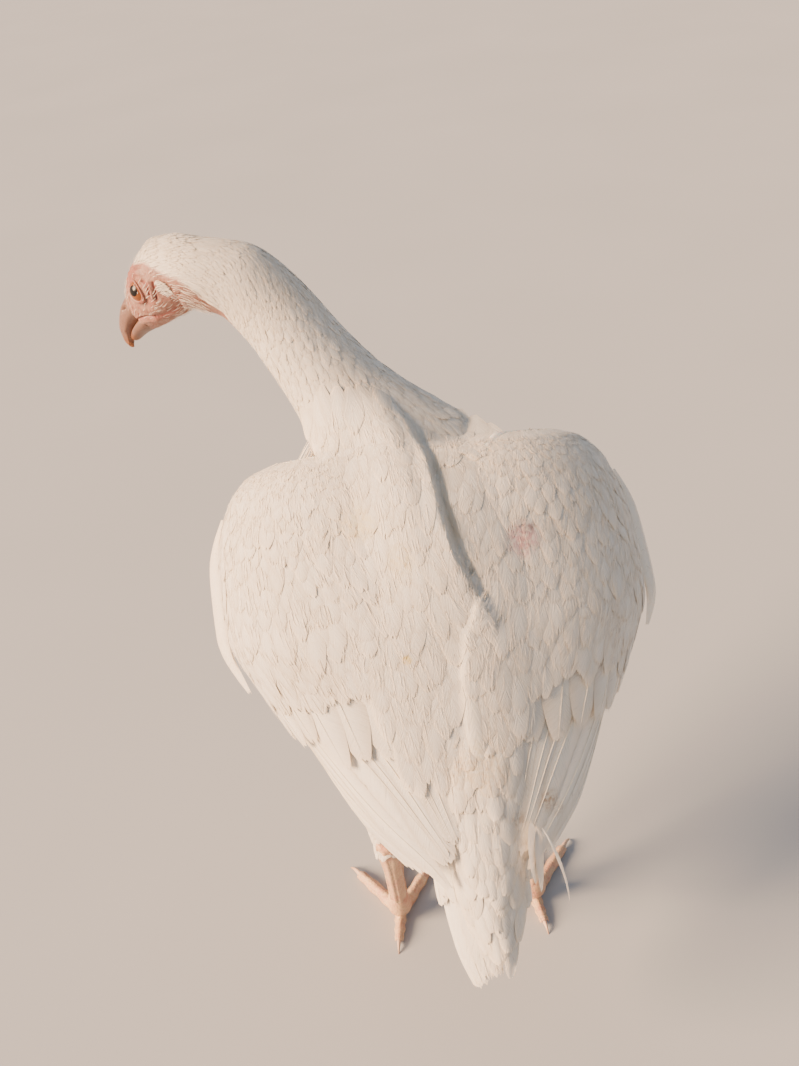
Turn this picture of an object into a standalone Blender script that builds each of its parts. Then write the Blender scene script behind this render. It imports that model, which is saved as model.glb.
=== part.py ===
"""A white Aseel hen, life size, standing upright with its head turned down to its left.

Metres, +Z up. The hen faces -Y, its left side is +X, and it stands on flats under its toes at Z = 0.
Most places are given in the trunk's own frame: s runs forward along the back's slope, h rises out of
the back, and x goes to the hen's left.
"""

import math

import bmesh
import bpy
from mathutils import Matrix, Vector

# Stance
BACK_SLOPE = math.radians(56)
TRUNK_CENTRE = Vector((0.0, 0.0, 0.262))
GAP = 0.0003

# Body from the tail's root to the head: x, s, h, half width, rise above the middle, drop below it
BODY = (
    (0.000, -0.105, 0.000, 0.020, 0.015, 0.018),
    (0.000, -0.094, 0.000, 0.030, 0.023, 0.030),
    (0.000, -0.075, 0.000, 0.042, 0.031, 0.046),
    (0.000, -0.045, 0.000, 0.055, 0.038, 0.062),
    (0.000, -0.010, 0.000, 0.064, 0.043, 0.074),
    (0.000, 0.025, 0.000, 0.067, 0.045, 0.079),
    (0.002, 0.055, 0.000, 0.064, 0.044, 0.073),
    (0.008, 0.078, 0.001, 0.055, 0.041, 0.058),
    (0.017, 0.097, 0.003, 0.044, 0.037, 0.043),
    (0.028, 0.116, 0.006, 0.034, 0.032, 0.034),
    (0.040, 0.136, 0.010, 0.027, 0.0275, 0.028),
    (0.053, 0.157, 0.016, 0.0240, 0.0240, 0.0240),
    (0.068, 0.180, 0.022, 0.0225, 0.0225, 0.0225),
    (0.086, 0.198, 0.026, 0.0220, 0.0215, 0.0215),
    (0.111, 0.207, 0.026, 0.0200, 0.0195, 0.0195),
)
NECK_START = 8
TRUNK_RINGS = 15
NECK_RINGS = 12
BODY_SIDES = 24

# Head: the point midway between the eyes, and the way it faces
HEAD_PLACE = (0.1320, 0.2025, 0.010)
HEAD_YAW = math.radians(69)
HEAD_PITCH = math.radians(37)
HEAD_ROLL = math.radians(-19)
# Skull: forward of the eyes, half width, top, bottom
SKULL = (
    (-0.0385, 0.0062, 0.0065, -0.0085),
    (-0.0355, 0.0118, 0.0120, -0.0140),
    (-0.0285, 0.0170, 0.0178, -0.0195),
    (-0.0190, 0.0197, 0.0212, -0.0216),
    (-0.0085, 0.0197, 0.0212, -0.0212),
    (0.0000, 0.0178, 0.0195, -0.0196),
    (0.0085, 0.0140, 0.0166, -0.0182),
    (0.0148, 0.0111, 0.0130, -0.0168),
    (0.0190, 0.0093, 0.0098, -0.0155),
)
SKULL_RINGS = 12
SKULL_SIDES = 20
EYE_RADIUS = 0.0079
EYE_PLACE = (0.0005, 0.0109, 0.0010)
LID_RADIUS = 0.0055
LID_THICKNESS = 0.0013
LID_SIDEWAYS = 0.0167
EAR_PLACE = (-0.0205, 0.0183, -0.0062)
EAR_LOBE_PLACE = (-0.0190, 0.0150, -0.0128)
EAR_LOBE_SIZE = (0.0050, 0.0030, 0.0056)
WATTLE_PLACE = (0.0100, 0.0056, -0.0172)
WATTLE_SIZE = (0.0058, 0.0015, 0.0034)

# Beak: forward, height, half width, half depth, at each step from the face to the tip
UPPER_BEAK = (
    (0.0193, 0.0008, 0.0085, 0.0083),
    (0.0248, 0.0002, 0.0076, 0.0074),
    (0.0305, -0.0017, 0.0062, 0.0060),
    (0.0356, -0.0052, 0.0046, 0.0047),
    (0.0386, -0.0096, 0.0031, 0.0032),
    (0.0392, -0.0142, 0.0012, 0.0014),
)
LOWER_BEAK = (
    (0.0193, -0.0108, 0.0077, 0.0044),
    (0.0248, -0.0106, 0.0067, 0.0037),
    (0.0300, -0.0111, 0.0051, 0.0030),
    (0.0340, -0.0124, 0.0030, 0.0019),
)
BEAK_SIDES = 12
NOSTRIL_PLACE = (0.0238, 0.0077, 0.0028)
MOUTH_CORNER = 0.0080
MOUTH_HEIGHT = -0.0085
MOUTH_SLIT = 0.0007

# Pea comb: three rows of low beads from the beak's root to the crown
COMB_ROWS = ((0.0, 6, 0.0022), (0.0042, 4, 0.0017), (-0.0042, 4, 0.0017))
COMB_FRONT = 0.0163
COMB_STEP = 0.0032

# Wing surface: distance down the slope from the wrist, inner edge, outer edge, top height, drop
WING_TOP = 0.088
WING_LENGTH = 0.235
WING = (
    (-0.006, 0.044, 0.082, 0.030, 0.028),
    (0.000, 0.034, 0.096, 0.040, 0.044),
    (0.015, 0.030, 0.109, 0.048, 0.055),
    (0.050, 0.020, 0.119, 0.054, 0.062),
    (0.090, 0.009, 0.121, 0.055, 0.064),
    (0.130, 0.006, 0.107, 0.049, 0.056),
    (0.165, 0.013, 0.090, 0.042, 0.046),
    (0.205, 0.026, 0.071, 0.035, 0.036),
    (0.235, 0.034, 0.052, 0.030, 0.026),
    (0.270, 0.036, 0.042, 0.025, 0.020),
)
WING_WRAP = 115
WING_CORE_SIDES = 9
WING_CORE_END = 0.62
# The folded arm: share down the wing, lift of its skin, depth under it
WING_CORE = ((-0.025, 0.004, 0.006), (0.0, 0.006, 0.016), (0.1, 0.006, 0.034), (0.3, 0.005, 0.036),
             (0.45, 0.001, 0.028), (0.55, -0.002, 0.018), (WING_CORE_END, -0.004, 0.011))
# How far the hind parts swing to the hen's right, for each metre behind the shoulders
SWING = 0.045
SWING_START = 0.038
LAYER = 0.0009
VANE_THICKNESS = 0.0006

# Tail surface: distance back from its root, half width, top height, drop
TAIL_ROOT = -0.1053
TAIL = (
    (0.000, 0.0215, 0.0165, 0.018),
    (0.030, 0.0285, 0.0150, 0.018),
    (0.060, 0.0300, 0.0135, 0.017),
    (0.090, 0.0270, 0.0125, 0.014),
    (0.115, 0.0200, 0.0120, 0.010),
)
TAIL_CORE = ((0.0, 0.020, 0.015, 0.018), (0.02, 0.022, 0.013, 0.015), (0.045, 0.018, 0.009, 0.008),
             (0.062, 0.010, 0.006, 0.001))

# Legs
LEG_SIDEWAYS = 0.047
HOCK = Vector((LEG_SIDEWAYS, 0.030, 0.100))
ANKLE = Vector((LEG_SIDEWAYS, 0.006, 0.012))
# Feathered thigh: place, radius
THIGH = (
    ((0.032, -0.008, 0.224), 0.034),
    ((0.044, -0.015, 0.193), 0.036),
    ((0.049, -0.006, 0.163), 0.029),
    ((0.049, 0.011, 0.135), 0.0185),
    ((0.0475, 0.024, 0.113), 0.0110),
    ((0.0470, 0.0302, 0.1007), 0.0088),
)
THIGH_RINGS = 11
LEG_SIDES = 14
# Shank: share of the way up, half width, half depth
SHANK = ((0.0, 0.0068, 0.0066), (0.2, 0.0057, 0.0060), (0.6, 0.0056, 0.0064), (0.86, 0.0068, 0.0080),
         (1.0, 0.0080, 0.0084))
SHANK_SCUTES = 11
SCUTE_RISE = 0.0005
FOOT_TOP = 0.016
# Toes: heading from straight ahead towards the outside, name, length, radius at the root, scutes
TOES = ((0, "middle", 0.060, 0.0056, 7), (-33, "inner", 0.043, 0.0052, 5), (36, "outer", 0.046, 0.0050, 5),
        (172, "back", 0.022, 0.0042, 3))
TOE_SIDES = 7
CLAW_LENGTH = 0.0125
CLAW_SIDES = 6


def blend(table, at):
    """The row of a table at a place between its stations, on a smooth curve through them."""
    last = len(table) - 1
    place = next((i for i in range(last) if at <= table[i + 1][0]), last - 1)
    rows = [table[min(max(i, 0), last)] for i in (place - 1, place, place + 1, place + 2)]
    span = rows[2][0] - rows[1][0]
    u = min(max((at - rows[1][0]) / span, 0.0), 1.0)
    out = []
    for before, low, high, after in zip(*(row[1:] for row in rows)):
        rise = _slope(rows, low, high, before, 0) * span
        fall = _slope(rows, low, high, after, 1) * span
        out.append((2 * u**3 - 3 * u**2 + 1) * low + (u**3 - 2 * u**2 + u) * rise
                   + (3 * u**2 - 2 * u**3) * high + (u**3 - u**2) * fall)
    return out


def _slope(rows, low, high, beyond, end):
    """The curve's slope at one end of a span: the mean over both sides, or the span's own at an end."""
    here = (high - low) / (rows[2][0] - rows[1][0])
    other, near = (rows[3], rows[2]) if end else (rows[0], rows[1])
    if other[0] == near[0]:
        return here
    there = (beyond - (high if end else low)) / (other[0] - near[0])
    return 0.0 if here * there <= 0 else 2 * here * there / (here + there)


def shares(count):
    """Even steps from 0 to 1."""
    return [i / (count - 1) for i in range(count)]


def trunk_point(x, s, h):
    """A place in the world from the trunk's frame."""
    along = Vector((0, -math.cos(BACK_SLOPE), math.sin(BACK_SLOPE)))
    out = Vector((0, math.sin(BACK_SLOPE), math.cos(BACK_SLOPE)))
    return TRUNK_CENTRE + along * s + out * h + Vector((x, 0, 0))


def trunk_way(x, s, h):
    """A direction in the world from the trunk's frame."""
    return (trunk_point(x, s, h) - TRUNK_CENTRE).normalized()


def head_axes():
    """The head's forward, left and up directions in the world."""
    forward = Vector((math.cos(HEAD_PITCH) * math.sin(HEAD_YAW), -math.cos(HEAD_PITCH) * math.cos(HEAD_YAW),
                      -math.sin(HEAD_PITCH)))
    upright = (Vector((0, 0, 1)) - forward * forward.z).normalized()
    sideways = upright.cross(forward)
    up = upright * math.cos(HEAD_ROLL) + sideways * math.sin(HEAD_ROLL)
    return forward, up.cross(forward), up


def head_point(forward, left, up):
    """A place in the world from the head's frame, whose origin is midway between the eyes."""
    axes = head_axes()
    return trunk_point(*HEAD_PLACE) + axes[0] * forward + axes[1] * left + axes[2] * up


def head_matrix(forward, left, up):
    """The head's frame as a matrix, moved to a place in it."""
    turn = Matrix([list(axis) for axis in head_axes()]).transposed().to_4x4()
    return Matrix.Translation(head_point(forward, left, up)) @ turn


def add_object(name, bm, collection):
    """An object from a bmesh, its faces turned outwards."""
    bmesh.ops.recalc_face_normals(bm, faces=bm.faces)
    mesh = bpy.data.meshes.new(name)
    bm.to_mesh(mesh)
    bm.free()
    obj = bpy.data.objects.new(name, mesh)
    collection.objects.link(obj)
    return obj


def loft(name, rings, collection):
    """A closed solid through rings with the same number of points, with its two ends capped."""
    bm = bmesh.new()
    rows = [[bm.verts.new(point) for point in ring] for ring in rings]
    for low, high in zip(rows, rows[1:]):
        for i, vert in enumerate(low):
            j = (i + 1) % len(low)
            bm.faces.new((vert, low[j], high[j], high[i]))
    bm.faces.new(rows[0])
    bm.faces.new(rows[-1])
    return add_object(name, bm, collection)


def oval(centre, side_way, up_way, half_width, rise, drop, count):
    """A ring of points round a centre, with its own rise above it and drop below it."""
    ring = []
    for i in range(count):
        angle = 2 * math.pi * i / count
        height = math.cos(angle)
        ring.append(centre + side_way * (half_width * math.sin(angle))
                    + up_way * (height * (rise if height > 0 else drop)))
    return ring


def tube_rings(centres, widths, depths, up_way, count):
    """Rings square to a line of centres; up_way is carried along it without twist."""
    rings = []
    for i, centre in enumerate(centres):
        before, after = centres[max(i - 1, 0)], centres[min(i + 1, len(centres) - 1)]
        way = (after - before).normalized()
        up_way = (up_way - way * up_way.dot(way)).normalized()
        rings.append(oval(centre, way.cross(up_way), up_way, widths[i], depths[i], depths[i], count))
    return rings


def ball(name, radii, place, collection, segments=8):
    """An ellipsoid, its three radii along the axes of a matrix that places it."""
    bm = bmesh.new()
    bmesh.ops.create_uvsphere(bm, u_segments=segments, v_segments=segments - 3, radius=1.0)
    bm.transform(place @ Matrix.Diagonal((*radii, 1.0)))
    return add_object(name, bm, collection)


def drop_object(obj):
    """Removes a helper object."""
    bpy.data.objects.remove(obj)


def bake_modifiers(obj):
    """Makes the object's mesh what its modifiers show."""
    graph = bpy.context.evaluated_depsgraph_get()
    mesh = bpy.data.meshes.new_from_object(obj.evaluated_get(graph))
    obj.modifiers.clear()
    obj.data = mesh
    return obj


def keep_largest(obj):
    """Keeps only the largest closed surface of an object."""
    bm = bmesh.new()
    bm.from_mesh(obj.data)
    waiting, groups = set(bm.faces), []
    while waiting:
        front = [waiting.pop()]
        group = set(front)
        while front:
            for edge in front.pop().edges:
                for face in edge.link_faces:
                    if face in waiting:
                        waiting.discard(face)
                        group.add(face)
                        front.append(face)
        groups.append(group)
    groups.sort(key=lambda faces: sum(face.calc_area() for face in faces))
    spare = [face for group in groups[:-1] for face in group]
    bmesh.ops.delete(bm, geom=spare, context="FACES")
    bm.to_mesh(obj.data)
    bm.free()
    return obj


def fuse(base, pieces):
    """Joins closed pieces to a base by one union, then removes them."""
    group = bpy.data.collections.new(base.name + "_pieces")
    bpy.context.scene.collection.children.link(group)
    for piece in pieces:
        for home in list(piece.users_collection):
            home.objects.unlink(piece)
        group.objects.link(piece)
    joiner = base.modifiers.new("join", "BOOLEAN")
    joiner.operation = "UNION"
    joiner.operand_type = "COLLECTION"
    joiner.collection = group
    joiner.solver = "MANIFOLD"
    bake_modifiers(base)
    for piece in pieces:
        drop_object(piece)
    bpy.data.collections.remove(group)
    return keep_largest(base)


def cut(obj, *cutters):
    """Takes each cutter's shape out of an object, then removes the cutter."""
    for cutter in cutters:
        knife = obj.modifiers.new("cut", "BOOLEAN")
        knife.operation = "DIFFERENCE"
        knife.object = cutter
        bake_modifiers(obj)
        drop_object(cutter)
    return keep_largest(obj)


def body_row(at):
    """The body's centre and size at a place along its stations."""
    return blend([(i, *row) for i, row in enumerate(BODY)], at)


def body_ring(at, grow=0.0, slide=0.0):
    """A ring of the body square to its middle line, grown outwards and slid along the line."""
    x, s, h, half_width, rise, drop = body_row(at)
    before, after = body_row(max(at - 0.5, 0)), body_row(min(at + 0.5, len(BODY) - 1))
    way = (trunk_point(*after[:3]) - trunk_point(*before[:3])).normalized()
    up = trunk_way(0, 0, 1)
    up = (up - way * up.dot(way)).normalized()
    return oval(trunk_point(x, s, h) + way * slide, up.cross(way), up, half_width + grow, rise + grow, drop + grow,
                BODY_SIDES)


def trunk_solid(name, collection, grow=0.0):
    """The trunk, from the tail's root to the base of the neck."""
    rings = [body_ring(share * NECK_START, grow, grow * (1 if share == 1 else -1 if share == 0 else 0))
             for share in shares(TRUNK_RINGS)]
    return loft(name, rings, collection)


def neck_solid(name, collection):
    """The neck, from a gap in front of the trunk to the back of the head."""
    length = len(BODY) - 1 - NECK_START
    rings = [body_ring(NECK_START + share * length, 0.0, 0.0 if share else GAP) for share in shares(NECK_RINGS)]
    lobes = [ear_lobe("lobe_room", side, collection, GAP) for side in (1, -1)]
    return cut(loft(name, rings, collection), skull_solid("skull_room", collection, GAP), *lobes)


def ear_lobe(name, side, collection, grow=0.0):
    """The soft bare lobe under one ear."""
    forward, sideways, up = EAR_LOBE_PLACE
    return ball(name, [radius + grow for radius in EAR_LOBE_SIZE], head_matrix(forward, side * sideways, up),
                collection)


def skull_solid(name, collection, grow=0.0):
    """The head's own round shape, without its eyes, lids and mouth."""
    _, left, up = head_axes()
    rings = []
    for share in shares(SKULL_RINGS):
        forward = SKULL[0][0] + share * (SKULL[-1][0] - SKULL[0][0])
        half_width, top, bottom = blend(SKULL, forward)
        middle = (top + bottom) / 2
        rings.append(oval(head_point(forward, 0, middle), left, up, half_width + grow,
                          top - middle + grow, middle - bottom + grow, SKULL_SIDES))
    return loft(name, rings, collection)


def lid_ring(side, collection):
    """The raised rim of the lids round one eye."""
    bpy.ops.mesh.primitive_torus_add(major_segments=14, minor_segments=5, major_radius=LID_RADIUS,
                                     minor_radius=LID_THICKNESS)
    lid = bpy.context.object
    lid.name = "lid"
    for home in list(lid.users_collection):
        home.objects.unlink(lid)
    collection.objects.link(lid)
    forward, left, up = head_axes()
    facing = (left * side + forward * 0.30 + up * 0.05).normalized()
    along = (forward - facing * forward.dot(facing)).normalized()
    turn = Matrix((along, facing.cross(along) * 0.86, facing * 1.6)).transposed().to_4x4()
    place = head_point(EYE_PLACE[0] + 0.0012, side * LID_SIDEWAYS, EYE_PLACE[2])
    lid.data.transform(Matrix.Translation(place) @ turn)
    return lid


def head_solid(collection):
    """The head: skull, lids, ear lobes and wattles, with room for the eyes and a slit for the mouth."""
    extras, eye_rooms, ears = [], [], []
    for side in (1, -1):
        extras.append(lid_ring(side, collection))
        extras.append(ear_lobe("lobe", side, collection))
        extras.append(ball("wattle", WATTLE_SIZE,
                           head_matrix(WATTLE_PLACE[0], side * WATTLE_PLACE[1], WATTLE_PLACE[2]), collection))
        eye_rooms.append(eye_ball("eye_room", side, collection, GAP))
        ears.append(ball("ear", (0.0016, 0.0030, 0.0022),
                         head_matrix(EAR_PLACE[0], side * EAR_PLACE[1], EAR_PLACE[2]), collection, 6))
    head = fuse(skull_solid("head", collection), extras)
    reach = (SKULL[-1][0] - MOUTH_CORNER) / 2 + 0.001
    slit = ball("mouth", (reach, 0.02, MOUTH_SLIT),
                head_matrix(MOUTH_CORNER + reach, 0, MOUTH_HEIGHT), collection)
    return cut(head, *eye_rooms, *ears, slit)


def eye_ball(name, side, collection, grow=0.0):
    """One eye as a ball set in the side of the head."""
    radius = EYE_RADIUS + grow
    return ball(name, (radius, radius, radius), head_matrix(EYE_PLACE[0], side * EYE_PLACE[1], EYE_PLACE[2]),
                collection, 12)


def beak_solid(name, stations, collection):
    """One half of the beak, curving from the face to its tip."""
    forward, _, up = head_axes()
    centres = [head_point(row[0], 0, row[1]) for row in stations]
    rings = tube_rings(centres, [row[2] for row in stations], [row[3] for row in stations], up, BEAK_SIDES)
    rings[0] = oval(centres[0], forward.cross(up), up, stations[0][2], stations[0][3], stations[0][3], BEAK_SIDES)
    return loft(name, rings, collection)


def upper_beak(collection):
    """The hooked upper half, with its two nostrils."""
    nostrils = [ball("nostril", (0.0019, 0.0016, 0.0008),
                     head_matrix(NOSTRIL_PLACE[0], side * NOSTRIL_PLACE[1], NOSTRIL_PLACE[2]), collection)
                for side in (1, -1)]
    return cut(beak_solid("beak_upper", UPPER_BEAK, collection), *nostrils)


def lower_beak(collection):
    """The lower half, cut clear of the hooked upper one."""
    room = [(f, u, w + 2 * GAP, d + 2 * GAP) for f, u, w, d in UPPER_BEAK]
    room[0] = (UPPER_BEAK[0][0] - 0.002, *room[0][1:])
    return cut(beak_solid("beak_lower", LOWER_BEAK, collection), beak_solid("upper_room", room, collection))


def comb_solid(collection):
    """The small pea comb: beads in three rows, their roots in a low ridge on the forehead."""
    beads = []
    for sideways, count, radius in COMB_ROWS:
        for i in range(count):
            forward = COMB_FRONT - (i + (0.5 if sideways else 0.0)) * COMB_STEP
            top = blend(SKULL, forward)[1]
            half_width = blend(SKULL, forward)[0]
            lean = math.sqrt(1 - (sideways / half_width) ** 2)
            size = radius * (0.75 + 0.35 * math.sin(math.pi * (i + 0.5) / count))
            beads.append(ball("bead", (size, size, size * 1.15),
                              head_matrix(forward, sideways, top * lean + size * 0.25), collection, 6))
    middle = COMB_FRONT - 2.5 * COMB_STEP
    ridge = ball("comb", (0.0105, 0.0052, 0.0062), head_matrix(middle, 0, blend(SKULL, middle)[1] - 0.0042),
                 collection)
    return cut(fuse(ridge, beads), skull_solid("crown_room", collection, GAP),
               beak_solid("beak_room", [(f, u, w + GAP, d + GAP) for f, u, w, d in UPPER_BEAK], collection))


def swing(s):
    """How far the hind parts stand to the hen's right at a place along the back."""
    return SWING * max(SWING_START - s, 0.0)


def wing_point(share, wrap, lift=0.0, side=1):
    """A place on the wing's outer surface: share down its length, degrees round it from the spine."""
    down = share * WING_LENGTH
    inner, outer, top, drop = blend(WING, down)
    angle = math.radians(wrap)
    x = inner + (outer - inner) * math.sin(angle)
    h = top - drop + drop * math.cos(angle)
    out = Vector((math.sin(angle) * drop, math.cos(angle) * (outer - inner)))
    out.normalize()
    s = WING_TOP - down
    return trunk_point(side * (x + out.x * lift) - swing(s), s, h + out.y * lift)


def tail_point(share, wrap, lift=0.0, side=1):
    """A place on the tail's roof-shaped surface: share of its length, degrees to the side of its ridge."""
    back = share * TAIL[-1][0]
    half_width, top, drop = blend(TAIL, back)
    angle = math.radians(wrap)
    x = half_width * math.sin(angle)
    h = top - drop + drop * math.cos(angle)
    out = Vector((math.sin(angle) * drop, math.cos(angle) * half_width))
    out.normalize()
    s = TAIL_ROOT - back
    return trunk_point(side * (x + out.x * lift) - swing(s), s, h + out.y * lift)


VANE_STEPS = (0.0, 0.40, 0.82, 1.0)
VANE_SHAPE = (0.45, 0.95, 0.90, 0.30)
VANE_ROOT_SINK = 0.0045


def vane(surface, root, tip, half_width, lift, side, collection):
    """One feather of a wing or tail, laid over a surface from its root to its tip."""
    bm = bmesh.new()
    bmesh.ops.create_grid(bm, x_segments=2, y_segments=len(VANE_STEPS) - 1, size=1.0)
    bm.verts.ensure_lookup_table()
    verts = sorted(bm.verts, key=lambda vert: (round(vert.co.y, 4), round(vert.co.x, 4)))
    step = 0.002
    for row, (at, share) in enumerate(zip(VANE_STEPS, VANE_SHAPE)):
        down = root[0] + (tip[0] - root[0]) * at
        wrap = root[1] + (tip[1] - root[1]) * at
        height = lift - VANE_ROOT_SINK * (1 - at)**3
        here = surface(down, wrap, height, side)
        by_down = (surface(down + step, wrap, height, side) - here) / step
        by_wrap = (surface(down, wrap + 1, height, side) - here)
        way = by_down * (tip[0] - root[0]) + by_wrap * (tip[1] - root[1])
        across = by_wrap - way * (by_wrap.dot(way) / way.length_squared)
        turn = 1 / across.length
        slide = -(by_wrap.dot(way) / way.length_squared) * turn
        for column, offset in enumerate((-1, 0, 1)):
            width = offset * half_width * share
            vert = verts[row * 3 + column]
            vert.co = surface(down + slide * width * (tip[0] - root[0]),
                              wrap + (turn + slide * (tip[1] - root[1])) * width, height, side)
    bmesh.ops.triangulate(bm, faces=bm.faces)
    obj = add_object("vane", bm, collection)
    shell = obj.modifiers.new("shell", "SOLIDIFY")
    shell.thickness = VANE_THICKNESS
    shell.offset = 0.0
    return bake_modifiers(obj)


def between(low, high, share):
    """A pair of numbers part of the way from one pair to another."""
    return tuple(a + (b - a) * share for a, b in zip(low, high))


# Tiers of a wing: count, roots from the back to the wrist, tips, half widths, lift of the first over the wing
WING_TIERS = (
    ("secondary", 8, (0.42, 12), (0.18, 78), (1.00, 2), (0.99, 68), (0.0140, 0.0120), 0.0006),
    ("primary", 5, (0.22, 86), (0.40, 104), (1.07, 68), (1.13, 96), (0.0095, 0.0080), -0.0070),
    ("greater covert", 7, (0.34, 14), (0.12, 84), (0.66, 6), (0.67, 88), (0.0150, 0.0135), 0.0036),
    ("median covert", 5, (0.22, 16), (0.04, 82), (0.46, 14), (0.45, 84), (0.0180, 0.0160), 0.0066),
    ("alula", 3, (0.12, 92), (0.16, 108), (0.46, 96), (0.52, 112), (0.0085, 0.0075), -0.0010),
)


def wing_vanes(side, collection):
    """The wing's feathers in tiers, each tier laid like tiles from the back out to the wrist."""
    vanes = []
    for _, count, root_a, root_b, tip_a, tip_b, widths, lift in WING_TIERS:
        for i, share in enumerate(shares(count)):
            width = widths[0] + (widths[1] - widths[0]) * share
            vanes.append(vane(wing_point, between(root_a, root_b, share), between(tip_a, tip_b, share), width,
                              lift - LAYER * i, side, collection))
    return vanes


def wing_core(name, side, collection):
    """The folded arm under the feathers: a thick shell that lies along the trunk's side."""
    rings = []
    for share, lift, depth in WING_CORE:
        wraps = [WING_WRAP * step for step in shares(WING_CORE_SIDES)]
        outer = [wing_point(share, wrap, lift - 0.0075 * wrap / WING_WRAP, side) for wrap in wraps]
        inner = [wing_point(share, wrap, lift - 0.0075 * wrap / WING_WRAP - depth * math.sin(
            math.pi * (0.12 + 0.76 * wrap / WING_WRAP)), side) for wrap in wraps]
        rings.append(outer + inner[::-1])
    return loft(name, rings, collection)


def wing_solid(name, side, collection):
    """A folded wing, cut clear of the trunk and the thigh under it."""
    wing = fuse(wing_core(name, side, collection), wing_vanes(side, collection))
    return cut(wing, trunk_solid("trunk_room", collection, GAP), thigh_loft("thigh_room", side, collection, GAP))


# Tiers of the tail: pairs, root, first place and step round the tail, reach left and right, half width, lift
TAIL_TIERS = (
    ("main", 5, 0.10, (8, 16), (0.92, 0.84, -0.030), 0.0125, -0.0010),
    ("covert", 3, 0.06, (12, 25), (0.62, 0.60, 0.03), 0.0105, 0.0030),
)


def tail_solid(collection):
    """The tail: main feathers and upper coverts over the flesh of its root."""
    rings = []
    for share in shares(6):
        back = share * TAIL_CORE[-1][0]
        half_width, rise, drop = blend(TAIL_CORE, back)
        rings.append(oval(trunk_point(-swing(TAIL_ROOT - back), TAIL_ROOT - back, 0), Vector((1, 0, 0)), trunk_way(0, 0, 1),
                          half_width, rise, drop, 16))
    tail = loft("tail", rings, collection)
    vanes = []
    for kind, pairs, root, wraps, reaches, half_width, lift in TAIL_TIERS:
        for side, reach in ((1, reaches[0]), (-1, reaches[1])):
            for pair in range(pairs):
                wrap = wraps[0] + wraps[1] * pair
                vanes.append(vane(tail_point, (root, wrap * 0.85), (reach - reaches[2] * pair * side, wrap), half_width,
                                  lift - LAYER * pair, side, collection))
    return fuse(tail, vanes)


def leg_point(point, side):
    """A point of the left leg, or its mirror for the right."""
    return Vector((point[0] * side, point[1], point[2]))


def thigh_loft(name, side, collection, grow=0.0):
    """The feathered thigh's round shape, from inside the trunk to the hock."""
    table = [(i, *place, radius) for i, (place, radius) in enumerate(THIGH)]
    rows = [blend(table, share * (len(THIGH) - 1)) for share in shares(THIGH_RINGS)]
    centres = [leg_point(row[:3], side) for row in rows]
    radii = [row[3] + grow for row in rows]
    rings = tube_rings(centres, radii, radii, Vector((0, -1, 0)), LEG_SIDES)
    rings[-1] = oval(centres[-1], *leg_ring_ways(side), radii[-1], radii[-1], radii[-1], LEG_SIDES)
    return loft(name, rings, collection)


def leg_ring_ways(side):
    """The sideways and forward directions of a ring square to the shank."""
    way = (leg_point(HOCK, side) - leg_point(ANKLE, side)).normalized()
    front = (Vector((0, -1, 0)) - way * way.dot(Vector((0, -1, 0)))).normalized()
    return way.cross(front), front


def shank_solid(name, side, collection):
    """The bare shank, with its row of scutes down the front and back as steps in its surface."""
    low, high = leg_point(ANKLE, side), leg_point(HOCK, side)
    way = (high - low).normalized()
    sideways, front = leg_ring_ways(side)
    start, end = FOOT_TOP + GAP, (high - low).length - GAP
    rings = []
    for scute in range(SHANK_SCUTES):
        for edge, rise in ((0.0, SCUTE_RISE), (0.88, 0.0)):
            share = (scute + edge) / (SHANK_SCUTES - 0.12)
            half_width, half_depth = blend(SHANK, share)
            centre = low + way * (start + (end - start) * share)
            rings.append(oval(centre, sideways, front, half_width, half_depth + rise, half_depth + rise, 10))
    return loft(name, rings, collection)


def toe_line(heading, length, radius, side, steps):
    """The centres and radii of a toe, from inside the foot to its tip, pads just under the floor."""
    way = Vector((math.sin(math.radians(heading)) * side, -math.cos(math.radians(heading)), 0))
    start = leg_point((ANKLE.x, ANKLE.y, 0), side)
    centres, radii = [], []
    for share in shares(steps):
        width = radius * (1 - 0.28 * share)
        pad = 0.5 - 0.5 * math.cos(math.pi * min(share * 4.0, 1.0))
        ripple = 0.0007 * math.cos(share * math.pi * 6) * pad
        height = width * 0.92 + 0.0018 * (1 - pad) - 0.0005
        centres.append(start + way * (length * share) + Vector((0, 0, height + ripple)))
        radii.append(width)
    return centres, radii, way


def toe_rings(heading, length, radius, scutes, side):
    """Rings along a toe, two to a scute, so that each scute stands up as a step on its back."""
    steps = scutes * 2
    centres, radii, way = toe_line(heading, length, radius, side, steps)
    across = way.cross(Vector((0, 0, 1)))
    rings = []
    for i, (centre, width) in enumerate(zip(centres, radii)):
        rise = SCUTE_RISE if i % 2 else 0.0
        rings.append(oval(centre, across, Vector((0, 0, 1)), width * 0.95, width + rise, width, TOE_SIDES))
    return rings, centres, radii, way


def foot_solid(name, side, collection):
    """The foot's joint and four toes, cut level under the pads."""
    low, high = leg_point(ANKLE, side), leg_point(HOCK, side)
    way = (high - low).normalized()
    sideways, front = leg_ring_ways(side)
    half_width, half_depth = SHANK[0][1:]
    steps = ((-0.0045, 0.0060), (0.0, 0.0082), (0.006, 0.0078), (FOOT_TOP, 0.0))
    rings = [oval(low + way * up, sideways, front, size or half_width, size or half_depth, size or half_depth, 10)
             for up, size in steps]
    hub = loft(name, rings, collection)
    toes = []
    for heading, _, length, radius, scutes in TOES:
        toes.append(loft("toe", toe_rings(heading, length, radius, scutes, side)[0], collection))
    bm = bmesh.new()
    bmesh.ops.create_cube(bm, size=0.4)
    bmesh.ops.translate(bm, verts=bm.verts, vec=(0, 0, -0.2))
    return cut(fuse(hub, toes), add_object("floor_room", bm, collection))


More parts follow.
